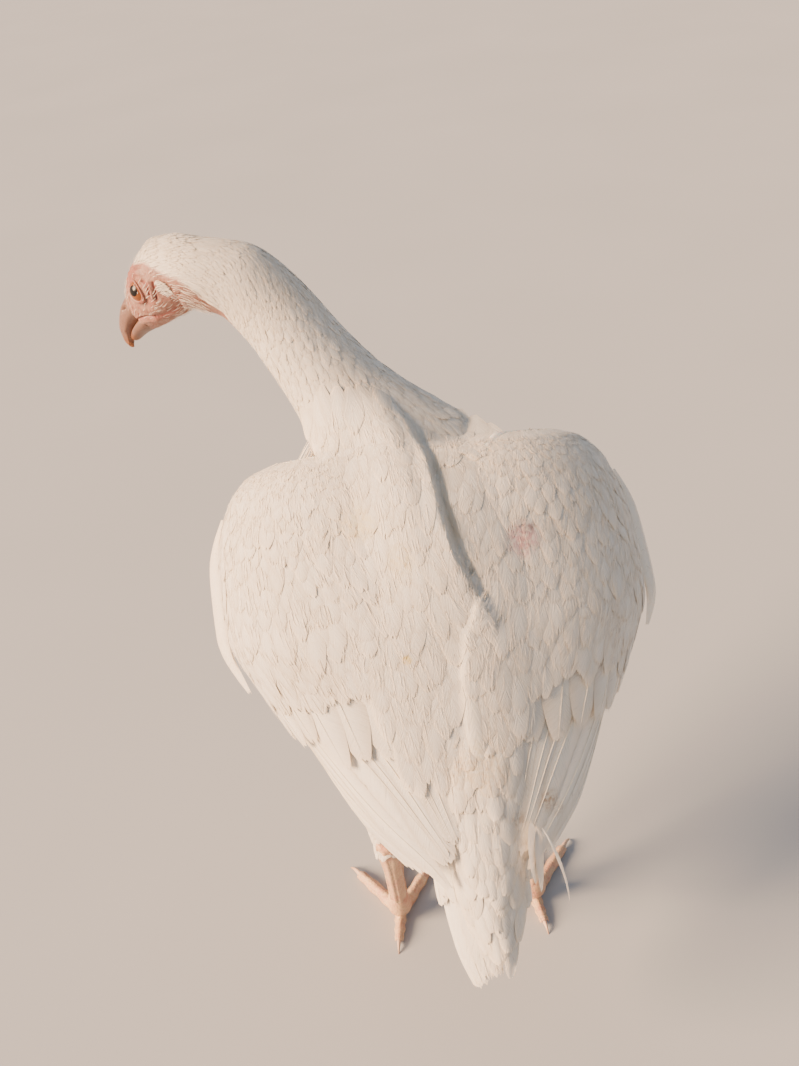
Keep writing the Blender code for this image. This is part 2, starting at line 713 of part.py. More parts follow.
def claw_solid(name, heading, length, radius, side, collection):
    """A curved claw that meets the end of its toe."""
    centres, radii, way = toe_line(heading, length, radius, side, 6)
    base, width = centres[-1], radii[-1] * 0.62
    line, sizes = [], []
    for share in shares(5):
        drop = 0.0026 * share**2
        line.append(base + way * (GAP + CLAW_LENGTH * share * (0.8 if heading > 90 else 1.0))
                    + Vector((0, 0, 0.0012 * math.sin(math.pi * share) - drop)))
        sizes.append(width * (1 - share) ** 0.7 + 0.00035)
    rings = tube_rings(line, sizes, sizes, Vector((0, 0, 1)), CLAW_SIDES)
    rings[0] = oval(line[0], way.cross(Vector((0, 0, 1))), Vector((0, 0, 1)), sizes[0], sizes[0], sizes[0], CLAW_SIDES)
    return loft(name, rings, collection)


def finish(objects, colour, roughness, name):
    """Gives objects one material and smooth shading."""
    material = bpy.data.materials.new(name)
    material.use_nodes = True
    shader = material.node_tree.nodes["Principled BSDF"]
    shader.inputs["Base Color"].default_value = (*colour, 1.0)
    shader.inputs["Roughness"].default_value = roughness
    for obj in objects:
        obj.data.materials.clear()
        obj.data.materials.append(material)
        obj.data.shade_smooth()
        obj.data.set_sharp_from_angle(angle=math.radians(40))


def centre_on_floor(objects):
    """Moves the hen so that the middle of its box stands over the origin, by an empty that carries it."""
    stance = bpy.data.objects.new("stance", None)
    bpy.context.scene.collection.objects.link(stance)
    points = [vert.co for obj in objects for vert in obj.data.vertices]
    for axis in (0, 1):
        values = [point[axis] for point in points]
        stance.location[axis] = -(min(values) + max(values)) / 2
    for obj in objects:
        obj.parent = stance


def main():
    """Builds every part of the hen, then sets its finish and its place."""
    for obj in list(bpy.data.objects):
        bpy.data.objects.remove(obj)
    hen = bpy.data.collections.new("aseel_hen")
    bpy.context.scene.collection.children.link(hen)

    plumage = [trunk_solid("torso", hen), neck_solid("neck", hen), tail_solid(hen)]
    skin, horn, legs, eyes = [head_solid(hen), comb_solid(hen)], [upper_beak(hen), lower_beak(hen)], [], []
    for word, side in (("left", 1), ("right", -1)):
        plumage.append(wing_solid("wing_" + word, side, hen))
        plumage.append(cut(thigh_loft("thigh_" + word, side, hen), trunk_solid("trunk_room", hen, GAP)))
        eyes.append(eye_ball("eye_" + word, side, hen))
        legs.append(shank_solid("shank_" + word, side, hen))
        legs.append(foot_solid("foot_" + word, side, hen))
        for heading, toe, length, radius, _ in TOES:
            horn.append(claw_solid(f"claw_{word}_{toe}", heading, length, radius, side, hen))

    finish(plumage, (0.82, 0.76, 0.68), 0.75, "white_plumage")
    finish(skin, (0.70, 0.36, 0.30), 0.55, "bare_skin")
    finish(horn, (0.66, 0.42, 0.26), 0.40, "horn")
    finish(legs, (0.74, 0.50, 0.34), 0.55, "leg_scales")
    finish(eyes, (0.22, 0.09, 0.03), 0.10, "eyes")
    centre_on_floor(plumage + skin + horn + legs + eyes)


main()
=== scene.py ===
"""Dresses the standing Aseel hen: skin, plumage tier by tier, bare face, beak, eyes, scaled legs and claws.

Metres, +Z up. The hen faces -Y and its left side is +X. Most places are given in the trunk's own frame:
s runs forward along the back's slope, h rises out of the back and x goes to the hen's left.
"""

from __future__ import annotations

import logging
import math
from dataclasses import dataclass, replace
from enum import Enum
from typing import Callable, Sequence

import bmesh
import bpy
import numpy as np
from mathutils import Matrix, Vector, noise

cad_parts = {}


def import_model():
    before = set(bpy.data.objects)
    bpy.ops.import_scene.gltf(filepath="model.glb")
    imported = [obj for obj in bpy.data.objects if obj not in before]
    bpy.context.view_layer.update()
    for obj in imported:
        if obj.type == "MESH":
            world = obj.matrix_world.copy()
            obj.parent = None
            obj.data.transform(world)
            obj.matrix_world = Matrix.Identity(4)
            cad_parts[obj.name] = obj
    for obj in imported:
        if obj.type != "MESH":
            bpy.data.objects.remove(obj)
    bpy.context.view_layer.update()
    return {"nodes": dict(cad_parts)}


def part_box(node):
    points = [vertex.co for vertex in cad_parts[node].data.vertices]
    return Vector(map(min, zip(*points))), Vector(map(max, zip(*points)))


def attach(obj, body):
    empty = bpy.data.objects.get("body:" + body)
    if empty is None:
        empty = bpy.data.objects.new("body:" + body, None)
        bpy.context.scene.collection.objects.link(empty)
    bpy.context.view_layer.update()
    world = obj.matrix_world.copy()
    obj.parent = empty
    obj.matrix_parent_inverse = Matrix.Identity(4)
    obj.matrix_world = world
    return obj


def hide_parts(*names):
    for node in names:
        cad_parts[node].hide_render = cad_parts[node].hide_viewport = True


Array = np.ndarray
Draws = np.random.Generator
Material = bpy.types.Material
Object = bpy.types.Object
Pair = tuple[float, float]
Socket = bpy.types.NodeSocket
Triple = tuple[float, float, float]
LOG = logging.getLogger("aseel_hen")
SEED = 7041
UP = (0.0, 0.0, 1.0)
FRONT = (0.0, -1.0, 0.0)
STEP_FLOOR = 1e-5
SIDE_STEP = 1e-4
VANE_SCALE = 10
SHARP_ANGLE = math.radians(70)


class Side(Enum):
    """A side of the hen, with the sign of its X."""

    LEFT = 1
    RIGHT = -1

    @property
    def word(self) -> str:
        """The side's name as the frame's nodes use it."""
        return self.name.lower()


# Frames and surfaces


def unit(vectors: Array) -> Array:
    """Vectors scaled to length one along the last axis."""
    return vectors / np.maximum(np.linalg.norm(vectors, axis=-1, keepdims=True), 1e-12)


def ramp(share: Array) -> Array:
    """An even rise from 0 to 1 that starts and ends softly."""
    share = np.clip(share, 0.0, 1.0)
    return share * share * (3 - 2 * share)


def line(points: Sequence[Pair], where: Array) -> Array:
    """Values read along a line of (position, value) points, which may fall or rise."""
    rising = sorted(points)
    return np.interp(where, [point[0] for point in rising], [point[1] for point in rising])


def between(ends: Pair, share: Array) -> Array:
    """Values an even share of the way from the first of two ends to the second."""
    return ends[0] + (ends[1] - ends[0]) * share


def matched(*values: object) -> list[Array]:
    """Numbers and arrays as float arrays of one shape."""
    return np.broadcast_arrays(*(np.asarray(value, float) for value in values))


def dome(*shares: Array) -> Array:
    """A soft round hill: one where every share is nothing, falling off as they grow."""
    return np.exp(-sum(share**2 for share in shares))


def from_top(v: Array) -> Array:
    """Degrees from the upper side, whichever way round."""
    return np.minimum(np.mod(v, 360), 360 - np.mod(v, 360))


class SmoothTable:
    """Rows of sizes at stations, read anywhere between them on a curve that doesn't overshoot."""

    def __init__(self, stations: Sequence[float], rows: Sequence[Sequence[float]]) -> None:
        """Works out the curve's slope at each station.

        Args:
            stations: rising positions.
            rows: the sizes at each position.
        """
        self.stations = np.asarray(stations, float)
        self.rows = np.asarray(rows, float)
        steps = np.diff(self.rows, axis=0) / np.diff(self.stations)[:, None]
        before, after = np.vstack([steps[:1], steps]), np.vstack([steps, steps[-1:]])
        total = before + after
        even = np.where(before * after > 0, 2 * before * after / np.where(total == 0, 1, total), 0.0)
        even[0], even[-1] = steps[0], steps[-1]
        self.slopes = even

    def at(self, where: Array) -> Array:
        """The sizes at any positions.

        Args:
            where: positions of any shape.

        Returns:
            An array with one more axis, the sizes.
        """
        where = np.asarray(where, float)
        low = np.clip(np.searchsorted(self.stations, where, side="right") - 1, 0, len(self.stations) - 2)
        span = (self.stations[low + 1] - self.stations[low])[..., None]
        u = np.clip((where[..., None] - self.stations[low][..., None]) / span, 0.0, 1.0)
        return ((2 * u**3 - 3 * u**2 + 1) * self.rows[low] + (u**3 - 2 * u**2 + u) * self.slopes[low] * span
                + (3 * u**2 - 2 * u**3) * self.rows[low + 1] + (u**3 - u**2) * self.slopes[low + 1] * span)


def table_of(rows: Sequence[Sequence[float]]) -> SmoothTable:
    """A table whose rows start with their station."""
    return SmoothTable([row[0] for row in rows], [row[1:] for row in rows])


@dataclass(frozen=True)
class Stance:
    """The trunk's frame, and the shift that stands it over the origin."""

    slope: float = math.radians(56)
    centre: Triple = (0.0, 0.0, 0.262)
    shift: Triple = (0.0, 0.0, 0.0)

    @property
    def axes(self) -> Array:
        """The directions of x, s and h in the world, one a row."""
        return np.array([[1.0, 0.0, 0.0], [0.0, -math.cos(self.slope), math.sin(self.slope)],
                         [0.0, math.sin(self.slope), math.cos(self.slope)]])

    def place(self, x: Array, s: Array, h: Array) -> Array:
        """Points in the world from the trunk's frame."""
        local = np.stack(np.broadcast_arrays(x, s, h), axis=-1)
        return np.array(self.centre) + np.array(self.shift) + local @ self.axes


@dataclass(frozen=True)
class HeadFrame:
    """The head's own frame: forward, to its left, and up from the point midway between the eyes."""

    stance: Stance
    origin: Triple = (0.132, 0.2025, 0.01)
    yaw: float = math.radians(69)
    pitch: float = math.radians(37)
    roll: float = math.radians(-19)

    @property
    def axes(self) -> Array:
        """Forward, left and up in the world, one a row."""
        flat = math.cos(self.pitch)
        forward = np.array([flat * math.sin(self.yaw), -flat * math.cos(self.yaw), -math.sin(self.pitch)])
        upright = unit(np.array([0.0, 0.0, 1.0]) - forward * forward[2])
        up = upright * math.cos(self.roll) + np.cross(upright, forward) * math.sin(self.roll)
        return np.array([forward, np.cross(up, forward), up])

    @property
    def middle(self) -> Array:
        """The frame's origin in the world."""
        return self.stance.place(*self.origin)

    def place(self, forward: Array, left: Array, up: Array) -> Array:
        """Points in the world from the head's frame."""
        return self.middle + np.stack(np.broadcast_arrays(forward, left, up), axis=-1) @ self.axes

    def local(self, points: Array) -> Array:
        """Forward, left and up of points in the world."""
        return (points - self.middle) @ self.axes.T


class Surface:
    """A surface that feathers, scales or skin lie on, read at u along it and v round it."""

    def place(self, u: Array, v: Array, lift: Array) -> Array:
        """Points at u and v, lifted off the surface."""
        raise NotImplementedError

    def pace(self, u: Array, v: Array) -> tuple[Array, Array]:
        """How far a point moves for one step of u and one of v.

        Args:
            u: places along.
            v: places round.

        Returns:
            The two lengths in metres.
        """
        here = self.place(u, v, np.zeros_like(np.asarray(u, float)))
        by_u = self.place(u + 1e-3, v, np.zeros_like(np.asarray(u, float))) - here
        by_v = self.place(u, v + 0.1, np.zeros_like(np.asarray(u, float))) - here
        return np.linalg.norm(by_u, axis=-1) / 1e-3, np.linalg.norm(by_v, axis=-1) / 0.1


class Tube(Surface):
    """A bent tube of oval sections. u counts stations, v is degrees from its upper side towards the left."""

    def __init__(self, centres: Array, ups: Array, sizes: Array, ways: Array | None = None,
                 samples: int = 320) -> None:
        """Carries the sections along a smooth line.

        Args:
            centres: the line's points in the world.
            ups: the upper direction, one for all or one at each point.
            sizes: half width, rise and drop at each point.
            ways: the line's direction at each point, where its own course doesn't give it.
            samples: how finely the line is kept.
        """
        stations = np.arange(len(centres), dtype=float)
        ups = np.broadcast_to(ups, np.shape(centres))
        self.last = stations[-1]
        self.knots = np.linspace(0, self.last, samples)
        self.centre = SmoothTable(stations, centres).at(self.knots)
        self.size = SmoothTable(stations, sizes).at(self.knots)
        course = np.gradient(self.centre, self.knots, axis=0)
        self.course = course
        way = unit(course)
        if ways is not None:
            way = unit(SmoothTable(stations, ways).at(self.knots))
        up = SmoothTable(stations, ups).at(self.knots)
        self.up = unit(up - way * (up * way).sum(axis=1, keepdims=True))
        self.side = np.cross(self.up, way)

    def _read(self, kept: Array, u: Array) -> Array:
        """A kept row of vectors at places along the tube."""
        at = np.clip(u, 0, self.last) / self.last * (len(self.knots) - 1)
        low = np.minimum(at.astype(int), len(self.knots) - 2)
        share = (at - low)[..., None]
        return kept[low] * (1 - share) + kept[low + 1] * share

    def place(self, u: Array, v: Array, lift: Array) -> Array:
        """Points on the tube; past its ends it runs straight on."""
        u, v, lift = matched(u, v, lift)
        beyond = (u - np.clip(u, 0, self.last))[..., None]
        centre = self._read(self.centre, u) + self._read(self.course, u) * beyond
        size = self._read(self.size, u)
        angle = np.radians(v)
        cos, sin = np.cos(angle), np.sin(angle)
        depth = np.where(cos > 0, size[..., 1], size[..., 2])
        across = np.maximum(size[..., 0] + lift, 0.0002) * sin
        rise = np.maximum(depth + lift, 0.0002) * cos
        sideways = self._read(self.side, u) * across[..., None]
        return centre + sideways + self._read(self.up, u) * rise[..., None]


# Sizes shared with the frame's solids

BODY = (  # x, s, h, half width, rise above the middle, drop below it
    (0.0, -0.105, 0.0, 0.02, 0.015, 0.018), (0.0, -0.094, 0.0, 0.03, 0.023, 0.03),
    (0.0, -0.075, 0.0, 0.042, 0.031, 0.046), (0.0, -0.045, 0.0, 0.055, 0.038, 0.062),
    (0.0, -0.01, 0.0, 0.064, 0.043, 0.074), (0.0, 0.025, 0.0, 0.067, 0.045, 0.079),
    (0.002, 0.055, 0.0, 0.064, 0.044, 0.073), (0.008, 0.078, 0.001, 0.055, 0.041, 0.058),
    (0.017, 0.097, 0.003, 0.044, 0.037, 0.043), (0.028, 0.116, 0.006, 0.034, 0.032, 0.034),
    (0.04, 0.136, 0.01, 0.027, 0.0275, 0.028), (0.053, 0.157, 0.016, 0.024, 0.024, 0.024),
    (0.068, 0.18, 0.022, 0.0225, 0.0225, 0.0225), (0.086, 0.198, 0.026, 0.022, 0.0215, 0.0215),
)
NECK_START = 8
NECK_BEND = (0.1085, 0.2055, 0.0255, 0.0204, 0.0196, 0.02)
SKULL = (  # forward of the eyes, half width, top, bottom
    (-0.02, 0.02, 0.0215, -0.0218), (-0.0085, 0.0197, 0.0212, -0.0212), (0.0, 0.0178, 0.0195, -0.0196),
    (0.0085, 0.014, 0.0166, -0.0182), (0.0148, 0.0111, 0.013, -0.0168), (0.019, 0.0093, 0.0098, -0.0155),
)
WING_TOP = 0.088
WING_LENGTH = 0.235
WING = (  # distance down from the wrist, inner edge, outer edge, top height, drop
    (-0.006, 0.044, 0.082, 0.03, 0.028), (0.0, 0.034, 0.096, 0.04, 0.044),
    (0.015, 0.03, 0.109, 0.048, 0.055), (0.05, 0.02, 0.119, 0.054, 0.062),
    (0.09, 0.009, 0.121, 0.055, 0.064), (0.13, 0.006, 0.107, 0.049, 0.056),
    (0.165, 0.01, 0.09, 0.042, 0.046), (0.205, 0.013, 0.072, 0.035, 0.038),
    (0.235, 0.012, 0.055, 0.03, 0.032), (0.275, 0.006, 0.047, 0.025, 0.03),
)
WING_CORE = ((-0.025, 0.004, 0.006), (0.0, 0.006, 0.016), (0.1, 0.006, 0.034), (0.3, 0.005, 0.036),
             (0.45, 0.001, 0.028), (0.55, -0.002, 0.018), (0.62, -0.004, 0.011))
WING_WRAP = 115
SWING = 0.045
SWING_START = 0.038
TAIL_ROOT = -0.1053
TAIL = (  # distance back from its root, half width, top height, drop
    (0.0, 0.0215, 0.0165, 0.018), (0.03, 0.0285, 0.015, 0.018), (0.06, 0.03, 0.0135, 0.017),
    (0.09, 0.027, 0.0125, 0.014), (0.115, 0.02, 0.012, 0.01),
)
THIGH = (((0.032, -0.008, 0.224), 0.034), ((0.044, -0.015, 0.193), 0.036), ((0.049, -0.006, 0.163), 0.029),
         ((0.049, 0.011, 0.135), 0.0185), ((0.0475, 0.024, 0.113), 0.011), ((0.047, 0.0302, 0.1007), 0.0088))
HOCK = (0.047, 0.03, 0.1)
ANKLE = (0.047, 0.006, 0.012)
SHANK = ((0.0, 0.0068, 0.0066), (0.2, 0.0057, 0.006), (0.6, 0.0056, 0.0064), (0.86, 0.0068, 0.008),
         (1.0, 0.008, 0.0084))
TOES = ((0, "middle", 0.06, 0.0056, 12), (-33, "inner", 0.043, 0.0052, 9), (36, "outer", 0.046, 0.005, 10),
        (172, "back", 0.022, 0.0042, 5))
CLAW_LENGTH = 0.0125


def swing(s: Array) -> Array:
    """How far the hind parts stand to the hen's right at a place along the back."""
    return SWING * np.maximum(SWING_START - s, 0.0)


class WingSurface(Surface):
    """A folded wing's outer surface: u is the share down its length, v degrees round it from the back."""

    def __init__(self, stance: Stance, side: Side) -> None:
        """Keeps the wing's sizes for one side."""
        self.stance, self.side = stance, side
        self.table = table_of(WING)

    def place(self, u: Array, v: Array, lift: Array) -> Array:
        """Points on the wing."""
        u, v, lift = matched(u, v, lift)
        down = u * WING_LENGTH
        inner, outer, top, drop = np.moveaxis(self.table.at(down), -1, 0)
        angle = np.radians(v)
        x = inner + (outer - inner) * np.sin(angle)
        h = top - drop + drop * np.cos(angle)
        out_x, out_h = np.sin(angle) * drop, np.cos(angle) * (outer - inner)
        size = np.hypot(out_x, out_h)
        s = WING_TOP - down
        return self.stance.place(self.side.value * (x + out_x / size * lift) - swing(s), s,
                                 h + out_h / size * lift)


class TailSurface(Surface):
    """The tail's roof-shaped surface: u is the share of its length, v degrees from its ridge to the left."""

    def __init__(self, stance: Stance) -> None:
        """Keeps the tail's sizes."""
        self.stance = stance
        self.table = table_of(TAIL)

    def place(self, u: Array, v: Array, lift: Array) -> Array:
        """Points on the tail."""
        u, v, lift = matched(u, v, lift)
        back = u * TAIL[-1][0]
        half, top, drop = np.moveaxis(self.table.at(back), -1, 0)
        angle = np.radians(v)
        out_x, out_h = np.sin(angle) * drop, np.cos(angle) * half
        size = np.hypot(out_x, out_h)
        s = TAIL_ROOT - back
        return self.stance.place(half * np.sin(angle) + out_x / size * lift - swing(s), s,
                                 top - drop + drop * np.cos(angle) + out_h / size * lift)


class BackSurface(Surface):
    """The back from neck to rump, drawn over the trunk and both wings: u is metres down from the neck.

    The cape swells over the back as a ridge. Its right edge breaks off in a crease over the right shoulder,
    and further down the right wing's inner edge lies over the left wing.
    """

    START = 0.15
    LAP_START = 0.018
    MELD = ((-0.11, 0.004), (-0.07, 0.01), (-0.03, 0.016))
    CREASE = ((0.12, 0.006), (0.106, -0.001), (0.087, -0.0085), (0.059, -0.0118), (0.037, -0.0154),
              (0.0155, -0.0225), (-0.01, -0.034))
    VALLEY = ((0.125, 0.03), (0.1, 0.036), (0.07, 0.044), (0.04, 0.043), (0.01, 0.038), (-0.02, 0.03))
    RIDGE = ((0.135, 0.0), (0.11, 0.005), (0.08, 0.0095), (0.05, 0.011), (0.02, 0.0085), (-0.015, 0.0))
    LIP = ((0.125, 0.0), (0.085, 0.003), (0.05, 0.0048), (0.02, 0.0044), (0.0, 0.0))
    LAP = ((0.02, -0.0285), (0.0013, -0.019), (-0.0141, -0.0115), (-0.0354, -0.0076), (-0.08, -0.0068))
    LAP_RISE = ((0.026, 0.0), (0.0, 0.0022), (-0.045, 0.0024), (-0.08, 0.0012), (-0.095, 0.0))

    def __init__(self, stance: Stance) -> None:
        """Keeps the trunk's and the wings' sizes by their place along the back."""
        self.stance = stance
        self.trunk = table_of(sorted((row[1], row[0], *row[2:5]) for row in BODY))
        self.wing = table_of(WING)

    def height(self, x: Array, s: Array) -> Array:
        """How high the back stands, smoothed where the wings meet the trunk."""
        middle, base, half, rise = np.moveaxis(self.trunk.at(s), -1, 0)
        trunk = base + rise * np.sqrt(np.maximum(1 - ((x - middle) / half) ** 2, 0.0)) - 0.004 * (
            np.maximum(np.abs(x - middle) / half - 1, 0.0))
        down = WING_TOP - s
        inner, outer, top, drop = np.moveaxis(self.wing.at(down), -1, 0)
        reach = (np.abs(x + swing(s)) - inner) / (outer - inner)
        wing = top - drop + drop * np.sqrt(np.maximum(1 - reach**2, 0.0))
        wing = wing - np.maximum(-down - 0.003, 0.0) * 1.3
        plain = 0.5 * (trunk + wing + np.sqrt((trunk - wing) ** 2 + line(self.MELD, s) ** 2))
        crease, valley = line(self.CREASE, s), line(self.VALLEY, s)
        ridge = ramp((x - crease) / 0.0038) * ramp((valley - x) / (0.75 * (valley - crease)))
        lip = ramp((crease - x) / 0.004) * ramp((x - crease + 0.046) / 0.044)
        lap = ramp((line(self.LAP, s) - x) / 0.0028) * ramp((x - line(self.LAP, s) + 0.045) / 0.03)
        return plain + line(self.RIDGE, s) * ridge + line(self.LIP, s) * lip + line(self.LAP_RISE, s) * lap

    def place(self, u: Array, v: Array, lift: Array) -> Array:
        """Points over the back; v is tenths of a millimetre to the left."""
        u, v, lift = matched(u, v, lift)
        x, s = v * SIDE_STEP, self.START - u
        return self.stance.place(x, s, self.height(x, s) + lift)


class SaddleSurface(Surface):
    """The tongue of soft feathers from the rump over the tail: u is metres down it, v as on the back."""

    START = -0.03
    CENTRE = ((-0.03, -0.012), (-0.07, -0.0145), (-0.13, -0.013), (-0.18, -0.012), (-0.205, -0.0135))
    HALF = ((-0.03, 0.024), (-0.07, 0.021), (-0.13, 0.02), (-0.175, 0.016), (-0.195, 0.011), (-0.21, 0.007))
    CREST = ((-0.03, 0.05), (-0.07, 0.0455), (-0.1, 0.0412), (-0.13, 0.035), (-0.15, 0.03),
             (-0.18, 0.0225), (-0.21, 0.015))
    FALL = ((-0.03, 0.002), (-0.1, 0.004), (-0.15, 0.009), (-0.21, 0.007))

    def __init__(self, stance: Stance) -> None:
        """Keeps where it stands."""
        self.stance = stance

    def place(self, u: Array, v: Array, lift: Array) -> Array:
        """Points on the tongue."""
        u, v, lift = matched(u, v, lift)
        s = self.START - u
        share = v * SIDE_STEP / 0.02
        return self.stance.place(line(self.CENTRE, s) + share * line(self.HALF, s), s,
                                 line(self.CREST, s) - line(self.FALL, s) * share**2 + lift)


def body_tube(stance: Stance) -> Tube:
    """The trunk as a tube from the tail's root to the base of the neck."""
    rows = np.array(BODY[:NECK_START + 2])
    centres = stance.place(rows[:, 0], rows[:, 1], rows[:, 2])
    return Tube(centres, stance.axes[2], rows[:, 3:])


def neck_tube(stance: Stance, head: HeadFrame) -> Tube:
    """One tube from the shoulders up the neck and over the skull to the beak, turning as the head turns."""
    rows = np.array(BODY[NECK_START - 2:])
    centres = list(stance.place(rows[:, 0], rows[:, 1], rows[:, 2]))
    sizes = [list(row) for row in rows[:, 3:]]
    centres.append(stance.place(*NECK_BEND[:3]))
    sizes.append(list(NECK_BEND[3:]))
    for forward, half, top, bottom in SKULL:
        middle = (top + bottom) / 2
        centres.append(head.place(np.array(forward), np.array(0.0), np.array(middle)))
        sizes.append([half, top - middle, middle - bottom])
    count = len(rows)
    ways = unit(np.gradient(np.array(centres), axis=0))
    ways[count + 1:] = head.axes[0]
    dorsal, crown = stance.axes[2], head.axes[2]
    turn = np.concatenate([np.clip((np.arange(count) - 1.0) / count, 0, 1), [0.93], np.ones(len(SKULL))])
    ups = dorsal * (1 - turn[:, None]) + crown * turn[:, None]
    return Tube(np.array(centres), ups, np.array(sizes), ways, samples=900)


def mirrored(point: Sequence[float], side: Side, stance: Stance) -> Array:
    """A point of the left leg, or its mirror for the right, standing where the hen stands."""
    return np.array([point[0] * side.value, point[1], point[2]]) + np.array(stance.shift)


def thigh_tube(stance: Stance, side: Side) -> Tube:
    """The thigh from inside the trunk to the hock; its upper side is its front."""
    centres = np.array([mirrored(point, side, stance) for point, _ in THIGH])
    sizes = np.array([[radius] * 3 for _, radius in THIGH])
    return Tube(centres, FRONT, sizes)


def shank_tube(stance: Stance, side: Side) -> Tube:
    """The bare shank from the foot up to the hock and a little into the thigh."""
    low, high = mirrored(ANKLE, side, stance), mirrored(HOCK, side, stance)
    rows = np.array(SHANK + ((1.12, 0.0072, 0.008),))
    centres = low + (high - low) * rows[:, :1]
    sizes = np.column_stack([rows[:, 1], rows[:, 2], rows[:, 2]])
    return Tube(centres, FRONT, sizes)


def toe_way(side: Side, heading: float) -> Array:
    """The way a toe points over the floor, for its heading in degrees outwards from the front."""
    return np.array([math.sin(math.radians(heading)) * side.value, -math.cos(math.radians(heading)), 0.0])


def toe_tube(stance: Stance, side: Side, heading: float, length: float, radius: float) -> Tube:
    """One toe from inside the foot to its claw, with its pads on the floor."""
    way = toe_way(side, heading)
    start = mirrored((ANKLE[0], ANKLE[1], 0.0), side, stance)
    shares = np.linspace(0, 1, 13)
    width = radius * (1 - 0.28 * shares)
    pad = 0.5 - 0.5 * np.cos(np.pi * np.minimum(shares * 4.0, 1.0))
    swell = 0.0004 * np.cos(shares * np.pi * 6) * pad
    height = width * 0.92 + 0.0018 * (1 - pad) - 0.0005
    centres = start + way * (length * shares)[:, None] + np.array(UP) * height[:, None]
    sizes = np.column_stack([width * 0.95 + swell, width, width * 0.97 + swell])
    sizes[-1] *= 0.8
    return Tube(centres, UP, sizes)


# Meshes


def new_object(name: str, mesh: bpy.types.Mesh) -> Object:
    """An object in the scene for a mesh."""
    obj = bpy.data.objects.new(name, mesh)
    bpy.context.scene.collection.objects.link(obj)
    return obj


def from_bmesh(name: str, bm: bmesh.types.BMesh) -> Object:
    """An object from a bmesh, which is freed."""
    mesh = bpy.data.meshes.new(name)
    bm.to_mesh(mesh)
    bm.free()
    return new_object(name, mesh)


def bake_modifiers(obj: Object) -> None:
    """Makes the object's mesh what its modifiers show."""
    graph = bpy.context.evaluated_depsgraph_get()
    mesh = bpy.data.meshes.new_from_object(obj.evaluated_get(graph))
    obj.modifiers.clear()
    obj.data = mesh


def loft(surface: Surface, start: float, end: float, rings: int, sides: int,
         lift: Callable[[Array, Array], Array] | float = 0.0) -> bmesh.types.BMesh:
    """A closed skin over a tube-like surface, from a grid whose sides are sewn and whose ends are filled.

    Args:
        surface: the surface it follows.
        start: where it starts along the surface.
        end: where it ends.
        rings: steps along it.
        sides: steps round it.
        lift: how far it stands off the surface, as a number or a function of u and v.

    Returns:
        The closed bmesh.
    """
    bm = bmesh.new()
    bmesh.ops.create_grid(bm, x_segments=sides, y_segments=rings - 1, size=1.0)
    spots = np.array([(vert.co.x, vert.co.y) for vert in bm.verts])
    u = start + (end - start) * (spots[:, 1] + 1) / 2
    v = (spots[:, 0] + 1) * 180.0
    height = lift(u, v) if callable(lift) else np.full(len(u), lift)
    for vert, point in zip(bm.verts, surface.place(u, v, height)):
        vert.co = point
    bmesh.ops.remove_doubles(bm, verts=bm.verts, dist=1e-6)
    bmesh.ops.holes_fill(bm, edges=[edge for edge in bm.edges if edge.is_boundary], sides=0)
    bmesh.ops.recalc_face_normals(bm, faces=bm.faces)
    return bm


def unite(base: Object, pieces: Sequence[Object]) -> None:
    """Joins closed meshes to a base in one union and removes them."""
    group = bpy.data.collections.new(base.name + "_pieces")
    bpy.context.scene.collection.children.link(group)
    for piece in pieces:
        bpy.context.scene.collection.objects.unlink(piece)
        group.objects.link(piece)
    joiner = base.modifiers.new("join", "BOOLEAN")
    joiner.operation = "UNION"
    joiner.operand_type = "COLLECTION"
    joiner.collection = group
    joiner.solver = "MANIFOLD"
    bake_modifiers(base)
    for piece in pieces:
        bpy.data.objects.remove(piece)
    bpy.data.collections.remove(group)


def add_values(mesh: bpy.types.Mesh, name: str, values: Array) -> None:
    """Keeps one number for each vertex in a mesh attribute."""
    attribute = mesh.attributes.new(name, "FLOAT", "POINT")
    attribute.data.foreach_set("value", np.ascontiguousarray(values, np.float32))


def coordinates(mesh: bpy.types.Mesh) -> Array:
    """The mesh's vertices as rows."""
    flat = np.empty(len(mesh.vertices) * 3, np.float32)
    mesh.vertices.foreach_get("co", flat)
    return flat.reshape(-1, 3).astype(float)


def set_coordinates(obj: Object, points: Array) -> None:
    """Moves the object's vertices to rows of places."""
    obj.data.vertices.foreach_set("co", points.astype(np.float32).ravel())


def coated(obj: Object, material: Material) -> None:
    """Shades an object smooth and gives it its one finish."""
    obj.data.shade_smooth()
    obj.data.materials.clear()
    obj.data.materials.append(material)


# Feathers and plates


